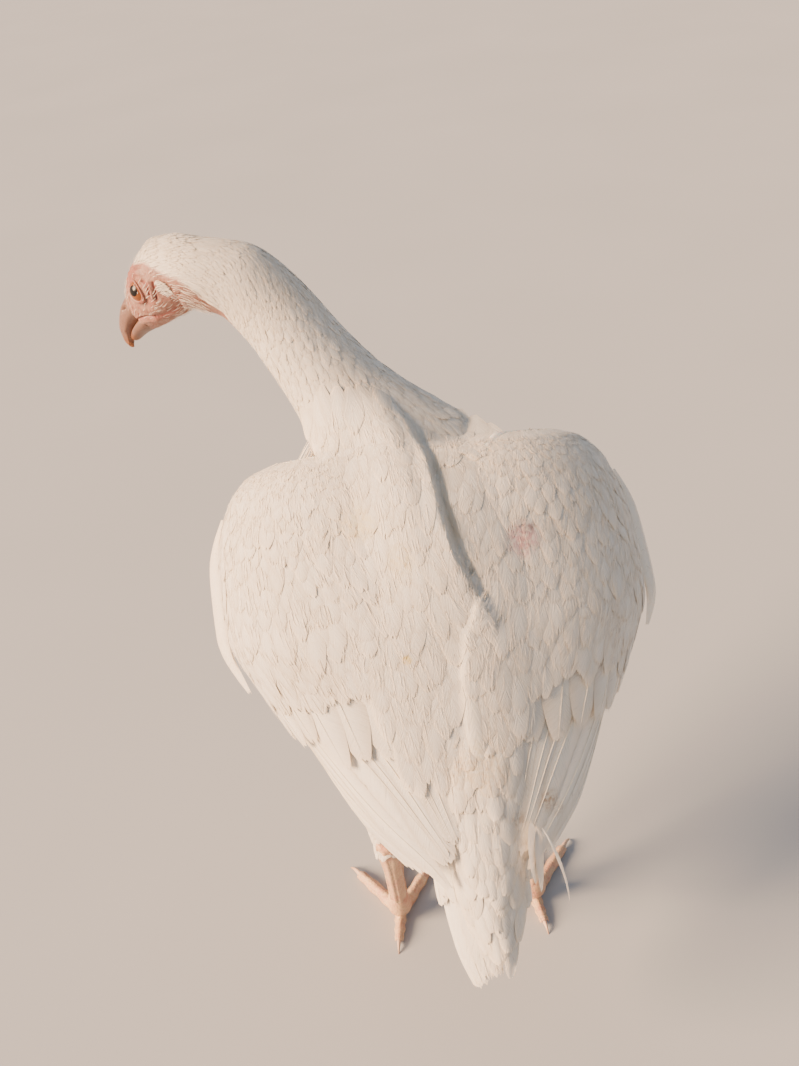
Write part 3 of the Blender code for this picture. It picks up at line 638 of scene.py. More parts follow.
@dataclass(frozen=True)
class VaneShape:
    """The cut of a feather or scale: a leaf-shaped grid, closed on both faces, with worn edges.

    The widths are shares of the half width from the root to the tip.
    """

    rows: int
    columns: int
    widths: tuple[float, ...] = (0.3, 0.72, 0.95, 1.0, 0.92, 0.66, 0.12)
    fray: float = 0.0
    tip_fray: float = 0.0
    thickness: float = 0.00012
    crowd_tip: float = 1.0

    def grid(self) -> tuple[Array, Array]:
        """Shares along the vane and across it, for each row and column."""
        along = np.linspace(0, 1, self.rows) ** (1 / self.crowd_tip)
        across = np.linspace(-1, 1, self.columns)
        return np.meshgrid(along, across, indexing="ij")

    def width_at(self, along: Array) -> Array:
        """The share of the half width at shares along the vane."""
        table = SmoothTable(np.linspace(0, 1, len(self.widths)), [[width] for width in self.widths])
        return table.at(along)[..., 0]

    def faces(self) -> tuple[Array, int, Array]:
        """The closed grid's faces.

        Returns:
            Quads by vertex number, the count of vertices, and which grid spots the under face repeats.
        """
        number = np.arange(self.rows * self.columns).reshape(self.rows, self.columns)
        under = number.copy()
        inside = number[1:-1, 1:-1]
        under[1:-1, 1:-1] = self.rows * self.columns + np.arange(inside.size).reshape(inside.shape)
        top = np.stack([number[:-1, :-1], number[:-1, 1:], number[1:, 1:], number[1:, :-1]],
                       -1).reshape(-1, 4)
        low = np.stack([under[:-1, :-1], under[1:, :-1], under[1:, 1:], under[:-1, 1:]], -1).reshape(-1, 4)
        return np.vstack([top, low]), self.rows * self.columns + inside.size, inside.ravel()


@dataclass
class Batch:
    """Feathers of one cut laid on one surface. Every field but the first two has one value a feather."""

    surface: Surface
    shape: VaneShape
    root_u: Array
    root_v: Array
    tip_u: Array
    tip_v: Array
    half_width: Array
    root_lift: Array
    tip_lift: Array
    tilt: Array
    bow: Array
    cup: Array
    curl: Array
    tint: Array
    home_u: Array
    home_v: Array

    def __len__(self) -> int:
        """How many feathers there are."""
        return len(self.root_u)


def batch(surface: Surface, shape: VaneShape, root_u: Array, root_v: Array, tip_u: Array, tip_v: Array,
          half_width: Array | float, root_lift: Array | float, tip_lift: Array | float,
          tilt: Array | float = 0.0, bow: Array | float = 0.0, cup: Array | float = 0.0,
          curl: Array | float = 0.0, tint: Array | float = 0.5,
          home: tuple[Array, Array] | None = None) -> Batch:
    """A batch with each single value spread over its feathers.

    Args:
        surface: what they lie on.
        shape: their cut.
        root_u: where each starts along the surface.
        root_v: where each starts round it.
        tip_u: where each ends along it.
        tip_v: where each ends round it.
        half_width: in metres.
        root_lift: the root's height over the surface.
        tip_lift: the tip's height.
        tilt: rise from one edge to the other, as a share of the half width.
        bow: sideways bend at the middle, in steps of v.
        cup: how far both edges turn down, as a share of the half width.
        curl: extra height at the very tip.
        tint: a shade from 0 to 1.
        home: the roots' places on the unwrapped skin, from 0 to 1.

    Returns:
        The batch.
    """
    root_u = np.atleast_1d(np.asarray(root_u, float))
    spread = [np.broadcast_to(np.asarray(value, float), root_u.shape).copy()
              for value in (root_v, tip_u, tip_v, half_width, root_lift, tip_lift, tilt, bow, cup, curl,
                            tint)]
    places = home if home is not None else (np.full(root_u.shape, 0.5), np.full(root_u.shape, 0.5))
    return Batch(surface, shape, root_u, *spread, *(np.broadcast_to(p, root_u.shape).copy() for p in places))


class Coat:
    """Builds one mesh from batches of feathers."""

    PATCH = 0.003

    def __init__(self, name: str, seed: int, atlas: bool = False) -> None:
        """Starts an empty coat.

        Args:
            name: the piece's name.
            seed: where its random draws start.
            atlas: whether each feather gets a share of the bake map to itself.
        """
        self.name, self.atlas = name, atlas
        self.rng = np.random.default_rng(seed)
        self.verts: list[Array] = []
        self.quads: list[Array] = []
        self.vane_uv: list[Array] = []
        self.bake_uv: list[Array] = []
        self.tints: list[Array] = []
        self.owners: list[Array] = []
        self.count = 0
        self.feathers = 0

    def add(self, laid: Batch) -> None:
        """Lays a batch of feathers on its surface and adds their mesh."""
        shape, amount = laid.shape, len(laid)
        if amount == 0:
            return
        along, across = shape.grid()
        size = (amount, *along.shape)
        a = np.broadcast_to(along, size).copy()
        b = np.broadcast_to(across, size).copy()
        edge = np.abs(across) > 0.999
        wear = self.rng.random(size)
        if shape.tip_fray:
            notch = (np.arange(shape.columns) % 2) * 0.6 + 0.4
            a[:, -1, :] -= shape.tip_fray * wear[:, -1, :] * notch
            a[:, -2, :] -= 0.25 * shape.tip_fray * wear[:, -2, :]
        width = shape.width_at(a)
        if shape.fray:
            worn = 1 - shape.fray * wear * ((np.arange(shape.rows) % 2) * 0.7 + 0.3)[None, :, None]
            width = np.where(edge[None], width * worn, width)

        def column(values: Array) -> Array:
            return values[:, None, None]

        half = column(laid.half_width)
        w = half * b * width
        du = column(laid.tip_u - laid.root_u)
        u = column(laid.root_u) + du * a
        bow = column(laid.bow)
        dv = column(laid.tip_v - laid.root_v) + bow * np.pi * np.cos(np.pi * a)
        v = column(laid.root_v) + column(laid.tip_v - laid.root_v) * a + bow * np.sin(np.pi * a)
        rise = 1 - (1 - a) ** 2
        lift = column(laid.root_lift) + column(laid.tip_lift - laid.root_lift) * rise
        lift = lift + column(laid.curl) * a**4
        eps_u = np.where(np.abs(du) > 1e-9, np.abs(du) * 1e-3, 1e-4)
        here = laid.surface.place(u, v, lift)
        by_u = (laid.surface.place(u + eps_u, v, lift) - here) / eps_u[..., None]
        by_v = (laid.surface.place(u, v + 0.2, lift) - here) / 0.2
        way = by_u * du[..., None] + by_v * dv[..., None]
        lean = (by_v * way).sum(-1) / np.maximum((way**2).sum(-1), 1e-14)
        square = np.linalg.norm(by_v - way * lean[..., None], axis=-1)
        turn = 1 / np.maximum(np.maximum(square, 0.5 * np.linalg.norm(by_v, axis=-1)), STEP_FLOOR)
        slide = np.clip(-lean * turn * w, -0.15, 0.15)
        lift = lift + (column(laid.tilt) * b - column(laid.cup) * b**2) * half * width
        inside = (1 - np.abs(across)) * np.sin(np.pi * np.clip(along, 0.02, 0.98)) ** 0.5
        side_u, side_v = u + slide * du, v + turn * w + slide * dv
        top = laid.surface.place(side_u, side_v, lift + shape.thickness * inside)
        low = laid.surface.place(side_u, side_v, lift - shape.thickness * inside)
        quads, total, doubled = shape.faces()
        flat_top, flat_low = top.reshape(amount, -1, 3), low.reshape(amount, -1, 3)[:, doubled]
        points = np.concatenate([flat_top, flat_low], axis=1)
        length = np.linalg.norm(np.diff(here[:, :, shape.columns // 2], axis=1), axis=-1).sum(1)
        vane = np.stack([w, a * column(length)], -1).reshape(amount, -1, 2)
        vane = np.concatenate([vane, vane[:, doubled]], axis=1)
        spot = np.stack([b, a * 2 - 1], -1).reshape(amount, -1, 2)
        spot = np.concatenate([spot, spot[:, doubled]], axis=1)
        start = self.count + np.arange(amount)[:, None, None] * total
        self.verts.append(points.reshape(-1, 3))
        self.quads.append((quads[None] + start).reshape(-1, 4))
        self.vane_uv.append(vane.reshape(-1, 2))
        self.bake_uv.append(np.concatenate([spot, np.broadcast_to(
            np.stack([laid.home_u, laid.home_v], -1)[:, None], spot.shape)], -1).reshape(-1, 4))
        self.tints.append(np.repeat(laid.tint, total))
        self.owners.append(np.repeat(self.feathers + np.arange(amount), total))
        self.count += amount * total
        self.feathers += amount

    def _bake_map(self) -> Array:
        """Each feather's patch on the bake map."""
        spots = np.concatenate(self.bake_uv)
        if not self.atlas:
            return np.clip(spots[:, 2:], 0.004, 0.996) + spots[:, :2] * self.PATCH / 2
        per_row = math.ceil(math.sqrt(self.feathers * 4))
        rows = math.ceil(self.feathers / per_row)
        order = np.concatenate(self.owners)
        cell = np.stack([order % per_row, order // per_row], -1)
        inside = (spots[:, :2] * 0.46 + 0.5)
        return (cell + inside) / np.array([per_row, rows])

    def finish(self, slot: str, nodes: Sequence[str], material: Material) -> Object:
        """Makes the piece.

        Args:
            slot: not used.
            nodes: the frame's nodes that it stands for.
            material: its finish.

        Returns:
            The object.
        """
        points, quads = np.concatenate(self.verts), np.concatenate(self.quads)
        mesh = bpy.data.meshes.new(self.name)
        mesh.vertices.add(len(points))
        mesh.vertices.foreach_set("co", points.astype(np.float32).ravel())
        mesh.loops.add(quads.size)
        mesh.loops.foreach_set("vertex_index", quads.astype(np.int32).ravel())
        mesh.polygons.add(len(quads))
        mesh.polygons.foreach_set("loop_start", np.arange(0, quads.size, 4, dtype=np.int32))
        mesh.polygons.foreach_set("loop_total", np.full(len(quads), 4, np.int32))
        mesh.update(calc_edges=True)
        mesh.polygons.foreach_set("use_smooth", np.ones(len(quads), bool))
        mesh.set_sharp_from_angle(angle=SHARP_ANGLE)
        bake = mesh.uv_layers.new(name="OFBake")
        bake.data.foreach_set("uv", self._bake_map()[quads.ravel()].astype(np.float32).ravel())
        vane = mesh.uv_layers.new(name="Vane")
        spots = np.concatenate(self.vane_uv)[quads.ravel()] * VANE_SCALE
        vane.data.foreach_set("uv", spots.astype(np.float32).ravel())
        add_values(mesh, "tint", np.concatenate(self.tints))
        mesh.materials.append(material)
        obj = new_object(self.name, mesh)
        dress(obj, nodes)
        LOG.info("%s: %d feathers, %d triangles", self.name, self.feathers, len(quads) * 2)
        return obj


def dress(obj: Object, nodes: Sequence[str] = ()) -> None:
    """Lets a piece ride on the hen's one body and hides the nodes that it stands for."""
    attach(obj, "root")
    if nodes:
        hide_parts(*nodes)


# Finishes


class Nodes:
    """A short way to write a material's nodes."""

    def __init__(self, name: str) -> None:
        """Starts a material with its shader."""
        self.material = bpy.data.materials.new(name)
        self.material.use_nodes = True
        self.tree = self.material.node_tree
        self.shader = self.tree.nodes["Principled BSDF"]

    def add(self, kind: str, inputs: dict[str | int, object] | None = None,
            **settings: object) -> bpy.types.Node:
        """Adds a node.

        Args:
            kind: the node's type without its ShaderNode prefix.
            inputs: values or sockets for its inputs.
            settings: its own settings.

        Returns:
            The node.
        """
        node = self.tree.nodes.new("ShaderNode" + kind)
        for key, value in settings.items():
            setattr(node, key, value)
        for key, value in (inputs or {}).items():
            self.feed(node.inputs[key], value)
        return node

    def feed(self, socket: Socket, value: object) -> None:
        """Links a socket to an input or sets its value."""
        if isinstance(value, Socket):
            self.tree.links.new(value, socket)
        else:
            socket.default_value = value

    def math(self, operation: str, first: object, second: object = 0.0) -> Socket:
        """A Math node's result."""
        return self.add("Math", {0: first, 1: second}, operation=operation).outputs[0]

    def times(self, first: object, second: object) -> Socket:
        """A Math node's product."""
        return self.math("MULTIPLY", first, second)

    def value(self, name: str) -> Socket:
        """The mesh attribute of a name."""
        return self.add("Attribute", attribute_name=name).outputs["Fac"]

    def ramp(self, value: object, stops: Sequence[tuple[float, float | Triple]]) -> Socket:
        """A colour ramp's result.

        Args:
            value: what it reads.
            stops: positions with a grey or a colour each.

        Returns:
            The colour socket.
        """
        node = self.add("ValToRGB", {0: value})
        elements = node.color_ramp.elements
        while len(elements) < len(stops):
            elements.new(0.5)
        for element, (position, colour) in zip(elements, stops):
            element.position = position
            element.color = (*(colour if isinstance(colour, tuple) else (colour,) * 3), 1.0)
        return node.outputs[0]

    def mix(self, share: object, first: object, second: object, blend: str = "MIX") -> Socket:
        """A colour mix; plain colours are tuples of three."""
        node = self.add("Mix", data_type="RGBA", blend_type=blend)
        for socket, value in ((node.inputs[0], share), (node.inputs[6], first), (node.inputs[7], second)):
            self.feed(socket, (*value, 1.0) if isinstance(value, tuple) else value)
        return node.outputs[2]

    def noise(self, vector: object, scale: float, detail: float = 3.0, rough: float = 0.5) -> Socket:
        """A noise texture's value."""
        return self.add("TexNoise", {"Vector": vector, "Scale": scale, "Detail": detail,
                                     "Roughness": rough}).outputs[0]

    def places(self) -> Socket:
        """Object coordinates."""
        return self.add("TexCoord").outputs["Object"]

    def near(self, middle: Array, reach: float) -> Socket:
        """A soft mask, one at a place and nothing beyond its reach."""
        away = self.add("VectorMath", {0: self.places(), 1: tuple(middle)},
                        operation="DISTANCE").outputs["Value"]
        return self.add("MapRange", {"Value": away, "From Min": reach, "From Max": reach * 0.3},
                        interpolation_type="SMOOTHSTEP").outputs[0]

    def bump(self, height: object, strength: float, depth: float, after: object | None = None
             ) -> Socket:
        """A bump's normal, on top of another where one is given."""
        inputs: dict[str | int, object] = {"Height": height, "Strength": strength, "Distance": depth}
        if after is not None:
            inputs["Normal"] = after
        return self.add("Bump", inputs).outputs[0]

    def finish(self, **sockets: object) -> Material:
        """Sets the shader's sockets, their spaces written as underscores, and returns the material."""
        for name, value in sockets.items():
            self.feed(self.shader.inputs[name.replace("_", " ")], value)
        return self.material


@dataclass(frozen=True)
class Stain:
    """A tinted spot on the plumage: its place in the trunk's frame, its reach and its colour."""

    place: Triple
    reach: float
    colour: Triple
    share: float


@dataclass(frozen=True)
class FeatherFinish:
    """White feathers: barbs that part in streaks, painted shade along the streaks and darker painted shade
    where barbs part, soft warm whites, and the odd stain.
    """

    name: str
    white: Triple = (0.89, 0.81, 0.69)
    dull: Triple = (0.83, 0.715, 0.56)
    streaks: float = 120.0
    lean: float = 0.38
    relief: float = 0.4
    # how strongly painted shade darkens the places where barbs part
    split: float = 0.8
    stains: tuple[Stain, ...] = ()

    def make(self, stance: Stance) -> Material:
        """Builds the material."""
        nodes = Nodes(self.name)
        vane = nodes.add("UVMap", uv_map="Vane").outputs[0]
        parts = nodes.add("SeparateXYZ", {0: vane})
        across = nodes.math("ABSOLUTE", parts.outputs[0])
        barb = nodes.math("SUBTRACT", across, nodes.times(parts.outputs[1], self.lean))
        tint = nodes.value("tint")
        grain = nodes.add("CombineXYZ", {0: nodes.times(barb, self.streaks),
                                         1: nodes.times(parts.outputs[1], self.streaks * 0.07),
                                         2: nodes.times(tint, 37.0)}).outputs[0]
        parting = nodes.noise(grain, 1.0, 4.0, 0.62)
        broad = nodes.noise(grain, 0.23, 2.0)
        patch = nodes.noise(nodes.places(), 26.0, 3.0)
        colour = nodes.mix(nodes.ramp(patch, ((0.42, 0.0), (0.78, 0.55))), self.white, self.dull)
        shade = nodes.ramp(nodes.math("ADD", nodes.times(parting, 0.65), nodes.times(broad, 0.35)),
                           ((0.28, (0.9, 0.885, 0.86)), (0.52, 1.0)))
        colour = nodes.mix(0.8, colour, shade, "MULTIPLY")
        # painted shade: a dark brown grey is mixed in where barbs part, in patches, as if the gaps lay in
        # shadow
        split = nodes.ramp(parting, ((0.33, 1.0), (0.39, 0.0)))
        parting_shade_patches = nodes.ramp(nodes.noise(nodes.places(), 75.0, 2.0), ((0.5, 0.0), (0.64, self.split)))
        colour = nodes.mix(nodes.times(split, parting_shade_patches), colour, (0.42, 0.34, 0.27))
        colour = nodes.mix(1.0, colour, nodes.ramp(tint, ((0.0, (0.94, 0.925, 0.9)), (0.6, 1.0))), "MULTIPLY")
        for stain in self.stains:
            mask = nodes.times(nodes.near(stance.place(*stain.place), stain.reach), stain.share)
            broken = nodes.times(mask, nodes.ramp(nodes.noise(nodes.places(), 420.0),
                                                              ((0.35, 0.15), (0.6, 1.0))))
            colour = nodes.mix(broken, colour, stain.colour)
        normal = nodes.bump(parting, self.relief, 0.0009)
        return nodes.finish(Base_Color=colour, Roughness=0.62, Sheen_Weight=0.18, Sheen_Roughness=0.5,
                            Specular_IOR_Level=0.28, Subsurface_Weight=0.35, Subsurface_Scale=0.0022,
                            Subsurface_Radius=(1.0, 0.72, 0.52), Normal=normal)


@dataclass(frozen=True)
class RachisFinish:
    """The feathers' shafts: pale horn with a faint yellow."""

    name: str = "shafts"
    colour: Triple = (0.8, 0.72, 0.58)

    def make(self) -> Material:
        """Builds the material."""
        nodes = Nodes(self.name)
        vane = nodes.add("UVMap", uv_map="Vane").outputs[0]
        worn = nodes.noise(vane, 60.0)
        colour = nodes.mix(worn, self.colour, tuple(value * 0.9 for value in self.colour))
        return nodes.finish(Base_Color=colour, Roughness=0.42, Normal=nodes.bump(worn, 0.15, 0.0002))


@dataclass(frozen=True)
class SkinFinish:
    """Bare skin on the face and throat, pale where feathers cover it, with painted shade in its creases and
    round the eyes.
    """

    name: str = "bare_skin"
    pink: Triple = (0.25, 0.116, 0.086)
    pale: Triple = (0.34, 0.2, 0.155)
    red: Triple = (0.235, 0.062, 0.048)
    down: Triple = (0.8, 0.745, 0.665)

    def make(self) -> Material:
        """Builds the material."""
        nodes = Nodes(self.name)
        places = nodes.places()
        bare = nodes.value("bare")
        flush = nodes.value("flush")
        crease_shade = nodes.value("crease_shade")
        mottle = nodes.noise(places, 190.0, 4.0, 0.6)
        veins = nodes.noise(places, 700.0, 3.0, 0.55)
        colour = nodes.mix(nodes.ramp(mottle, ((0.34, 0.0), (0.66, 1.0))), self.pink, self.pale)
        colour = nodes.mix(nodes.times(nodes.ramp(veins, ((0.45, 0.0), (0.7, 1.0))), 0.35), colour,
                           self.red)
        colour = nodes.mix(flush, colour, self.red)
        # painted shade: creases and the rims round the eyes are coloured a darker red
        colour = nodes.mix(nodes.times(crease_shade, 0.75), colour, (0.3, 0.085, 0.07))
        colour = nodes.mix(nodes.ramp(bare, ((0.15, 0.0), (0.75, 1.0))), self.down, colour)
        pores = nodes.add("TexVoronoi", {"Vector": places, "Scale": 1150.0}).outputs["Distance"]
        normal = nodes.bump(mottle, 0.35, 0.0006)
        normal = nodes.bump(pores, 0.3, 0.00035, normal)
        normal = nodes.bump(veins, 0.25, 0.0003, normal)
        return nodes.finish(Base_Color=colour, Roughness=nodes.math("ADD", nodes.times(pores, 0.25), 0.4),
                            Subsurface_Weight=0.45, Subsurface_Scale=0.0016,
                            Subsurface_Radius=(1.0, 0.38, 0.25), Specular_IOR_Level=0.42, Normal=normal)


@dataclass(frozen=True)
class HornFinish:
    """Beak and claws: layered horn, darker towards the tip by the piece's own attribute."""

    name: str
    root: Triple = (0.19, 0.103, 0.076)
    tip: Triple = (0.215, 0.076, 0.024)
    start: float = 0.62
    full: float = 0.88

    def make(self) -> Material:
        """Builds the material."""
        nodes = Nodes(self.name)
        along = nodes.value("along")
        places = nodes.places()
        stretched = nodes.add("Mapping", {"Vector": places, "Scale": (900.0, 900.0, 260.0)}).outputs[0]
        layers = nodes.noise(stretched, 1.0, 4.0, 0.6)
        blot = nodes.noise(places, 330.0, 3.0)
        at = nodes.math("ADD", along, nodes.times(nodes.math("SUBTRACT", blot, 0.5), 0.22))
        colour = nodes.mix(nodes.ramp(at, ((self.start, 0.0), (self.full, 1.0))), self.root, self.tip)
        colour = nodes.mix(0.6, colour, nodes.ramp(layers, ((0.3, (0.8, 0.76, 0.72)), (0.62, 1.0))),
                           "MULTIPLY")
        normal = nodes.bump(layers, 0.28, 0.0004)
        return nodes.finish(Base_Color=colour, Roughness=0.4, Subsurface_Weight=0.25, Subsurface_Scale=0.0012,
                            Subsurface_Radius=(1.0, 0.5,
                                               0.3), Coat_Weight=0.12, Coat_Roughness=0.3, Normal=normal)


@dataclass(frozen=True)
class EyeFinish:
    """A brown eye under a wet surface."""

    name: str = "eyes"
    pupil: float = 22.0
    iris: float = 56.0

    def make(self) -> Material:
        """Builds the material, which reads the angle from the gaze in degrees."""
        nodes = Nodes(self.name)
        turn = nodes.math("DIVIDE", nodes.value("turn"), 90.0)
        fleck = nodes.noise(nodes.places(), 1500.0, 3.0)
        iris = nodes.mix(fleck, (0.16, 0.05, 0.018), (0.27, 0.095, 0.03))
        edge = self.pupil / 90.0
        colour = nodes.mix(nodes.ramp(turn, ((edge - 0.015, 0.0), (edge + 0.02, 1.0))), (0.004, 0.003, 0.003),
                           iris)
        rim = self.iris / 90.0
        colour = nodes.mix(nodes.ramp(turn, ((rim - 0.06, 0.0), (rim + 0.03, 1.0))), colour,
                           (0.1, 0.035, 0.022))
        return nodes.finish(Base_Color=colour, Roughness=0.25, Coat_Weight=0.1, Coat_Roughness=0.05,
                            Specular_IOR_Level=0.25, Normal=nodes.bump(fleck, 0.05, 0.0001))


@dataclass(frozen=True)
class LegFinish:
    """The legs' scaly skin: pale yellow pink, redder between the scales."""

    name: str = "leg_scales"
    pale: Triple = (0.74, 0.5, 0.3)
    pink: Triple = (0.62, 0.315, 0.215)

    def make(self) -> Material:
        """Builds the material."""
        nodes = Nodes(self.name)
        places = nodes.places()
        mottle = nodes.noise(places, 150.0, 4.0, 0.55)
        cells = nodes.add("TexVoronoi", {"Vector": places, "Scale": 620.0}).outputs["Distance"]
        colour = nodes.mix(nodes.ramp(mottle, ((0.35, 0.0), (0.68, 1.0))), self.pale, self.pink)
        colour = nodes.mix(0.5, colour, nodes.ramp(cells, ((0.05, 1.0), (0.75, (0.78, 0.7, 0.62)))),
                           "MULTIPLY")
        normal = nodes.bump(nodes.math("SUBTRACT", 1.0, cells), 0.5, 0.0007)
        normal = nodes.bump(mottle, 0.3, 0.0006, normal)
        return nodes.finish(Base_Color=colour, Roughness=0.52, Subsurface_Weight=0.2, Subsurface_Scale=0.0015,
                            Subsurface_Radius=(1.0, 0.5, 0.3), Normal=normal)


# The skin and the head


@dataclass(frozen=True)
class Fold:
    """A crease or a ridge of the face's skin, drawn on the side of the head as forward and up places."""

    points: tuple[Pair, ...]
    rise: float
    width: float
    flush: float = 0.0

    def share(self, forward: Array, up: Array) -> Array:
        """How near each place is to the line: one on it, falling off over the width."""
        best = np.full(forward.shape, 1e9)
        for (f0, u0), (f1, u1) in zip(self.points, self.points[1:]):
            df, du = f1 - f0, u1 - u0
            t = np.clip(((forward - f0) * df + (up - u0) * du) / (df * df + du * du), 0, 1)
            best = np.minimum(best, (forward - f0 - t * df) ** 2 + (up - u0 - t * du) ** 2)
        return np.exp(-best / self.width**2)


@dataclass
class Face:
    """The bare face: where feathers end, the eye's opening, and every fold, bump and bead of its skin."""

    head: HeadFrame
    edge: tuple[Pair, ...] = (
        (-0.15, 0.03), (-0.09, 0.01), (-0.07, -0.015), (-0.06, -0.025), (-0.05, -0.0325),
        (-0.0418, -0.035),
        (-0.0333, -0.0336), (-0.0211, -0.0326), (-0.0109, -0.03), (-0.0031, -0.0237), (0.004, -0.02),
        (0.0092, -0.016), (0.014, -0.0062), (0.018, -0.002), (0.023, 0.002))
    eye_centre: Triple = (0.0005, 0.0109, 0.001)
    eye_radius: float = 0.0079
    eye_facing: Triple = (0.16, 1.0, 0.1)
    opening: Pair = (0.006, 0.0041)
    folds: tuple[Fold, ...] = (
        Fold(((-0.0085, 0.002), (-0.0107, -0.0016), (-0.0082, -0.005), (-0.0051, -0.0077)), -0.001, 0.0008,
             0.5),
        Fold(((-0.0143, -0.003), (-0.0122, -0.0066), (-0.0087, -0.0101)), -0.0013, 0.0008, 0.6),
        Fold(((-0.0118, -0.001), (-0.0096, -0.0058), (-0.0072, -0.0086)), 0.0006, 0.001),
        Fold(((-0.0205, -0.008), (-0.0192, -0.0103), (-0.0175, -0.0125)), -0.0008, 0.0007, 0.4),
        Fold(((0.003, -0.0048), (-0.002, -0.008), (-0.0055, -0.0093)), -0.0007, 0.0007, 0.4),
        Fold(((0.0062, -0.001), (0.0052, -0.0048), (0.0015, -0.0072)), -0.0004, 0.0007),
        Fold(((0.0046, -0.0146), (0.0086, -0.0118), (0.0123, -0.0101), (0.016, -0.0088), (0.02, -0.0079)),
             -0.0016, 0.0006, 0.6),
        Fold(((0.006, -0.016), (0.011, -0.013), (0.018, -0.0112)), 0.0006, 0.0012),
        Fold(((0.004, -0.015), (-0.002, -0.0172), (-0.009, -0.0188), (-0.017, -0.0196)), -0.0009, 0.0011,
             0.3),
        Fold(((0.0, -0.0192), (-0.01, -0.0206), (-0.02, -0.0212)), 0.0007, 0.0014, 0.2),
        Fold(((-0.016, -0.015), (-0.023, -0.017), (-0.03, -0.018)), -0.0006, 0.0008, 0.1),
        Fold(((-0.019, -0.012), (-0.026, -0.0128), (-0.033, -0.015)), -0.0005, 0.0007),
        Fold(((0.0078, 0.007), (0.003, 0.0108), (-0.004, 0.0108), (-0.009, 0.007)), 0.0013, 0.0024, 0.4),
        Fold(((0.0092, 0.0056), (0.0032, 0.0086), (-0.0034, 0.0088), (-0.0078, 0.0052)), -0.0006, 0.0006,
             0.3),
    )
    ear_tuft: Pair = (-0.0163, -0.0092)
    ear_lobe: Pair = (-0.0195, -0.014)
    wattle: Pair = (0.01, -0.017)
    comb_rows: tuple[tuple[float, int, float], ...] = ((0.0, 6, 0.0022), (0.0042, 4, 0.0017),
                                                       (-0.0042, 4, 0.0017))
    comb_front: float = 0.0168
    comb_step: float = 0.0032
    reach: float = 0.095
    edge_width: float = 0.0075

    def bare(self, points: Array) -> Array:
        """How bare the skin is at points in the world: nothing under feathers, one on the face."""
        forward, _, up = np.moveaxis(self.head.local(points), -1, 0)
        edge = np.interp(up, [row[0] for row in self.edge], [row[1] for row in self.edge])
        near = np.linalg.norm(points - self.head.middle, axis=-1) < self.reach
        return np.where(near, np.clip((forward - edge) / self.edge_width + 0.5, 0, 1), 0.0)

    def beads(self) -> list[Triple]:
        """The comb's beads: forward, sideways and radius."""
        found = []
        for sideways, count, radius in self.comb_rows:
            for i in range(count):
                forward = self.comb_front - (i + (0.5 if sideways else 0.0)) * self.comb_step
                swell = 0.75 + 0.35 * math.sin(math.pi * (i + 0.5) / count)
                found.append((forward, sideways, radius * swell))
        return found

    def relief(self, local: Array) -> tuple[Array, Array, Array]:
        """How far the skin stands out at places in the head's frame.

        Args:
            local: forward, left and up.

        Returns:
            The rise in metres, how flushed the skin is, and how much painted shade its creases get.
        """
        forward, left, up = np.moveaxis(local, -1, 0)
        cheek = np.clip((np.abs(left) - 0.0045) / 0.004, 0, 1)
        rise, flush, crease_shade = np.zeros(forward.shape), np.zeros(forward.shape), np.zeros(forward.shape)
        for fold in self.folds:
            share = fold.share(forward, up) * cheek
            rise += share * fold.rise
            flush += share * fold.flush
            # painted shade: deep creases are marked to be coloured darker
            crease_shade += share * (0.9 if fold.rise < -0.0008 else 0.0)
        lobe = dome((forward - self.ear_lobe[0]) / 0.0042, (up - self.ear_lobe[1]) / 0.0048) * cheek
        flap = dome((forward - self.wattle[0]) / 0.0048, (up - self.wattle[1]) / 0.0024) * cheek
        rise += 0.0016 * lobe + 0.0012 * flap
        flush += 0.25 * lobe + 0.35 * flap
        crown = np.clip(up / 0.006, 0, 1)
        for bead_forward, sideways, radius in self.beads():
            away = (forward - bead_forward) ** 2 + (left - sideways) ** 2
            share = np.exp(-away / (radius * 0.86) ** 2) * crown
            rise += radius * 0.8 * share
            flush += 0.55 * share
        return rise, np.clip(flush, 0, 1), np.clip(crease_shade, 0, 1)

    def open_eye(self, local: Array, side: Side) -> tuple[Array, Array]:
        """Parts the skin round one eye into two lids with a raised rim.

        Args:
            local: places in the head's frame.
            side: which eye.

        Returns:
            The moved places, and how close each is to the rim.
        """
        facing = unit(np.array([self.eye_facing[0], side.value * self.eye_facing[1], self.eye_facing[2]]))
        high = unit(np.array([0.1, 0.0, 1.0]) - facing * (facing @ np.array([0.1, 0.0, 1.0])))
        wide = np.cross(high, facing)
        centre = np.array([self.eye_centre[0], side.value * self.eye_centre[1], self.eye_centre[2]])
        from_eye = local - centre
        reach = np.linalg.norm(from_eye, axis=-1)
        a, b, ahead = from_eye @ high, from_eye @ wide, from_eye @ facing
        turned = np.abs(a / self.opening[0]) ** 1.8 + np.abs(b / self.opening[1]) ** 2.0
        away = turned ** 0.52
        radius = self.eye_radius
        wanted = np.interp(away, (0.0, 0.88, 1.0, 1.1, 1.24, 1.5, 1.9),
                           radius + np.array((-0.0016, -0.0016, 0.0002, 0.0009, 0.0011, 0.0004, -0.0001)))
        keep = np.clip((away - 1.45) / 0.75, 0, 1)
        keep = np.where(ahead > 0.001, keep * keep * (3 - 2 * keep), 1.0)
        kept = wanted * (1 - keep) + reach * keep
        moved = centre + from_eye / np.maximum(reach, 1e-9)[:, None] * kept[:, None]
        return moved, np.where(ahead > 0.001, dome((away - 1.02) / 0.16), 0.0)


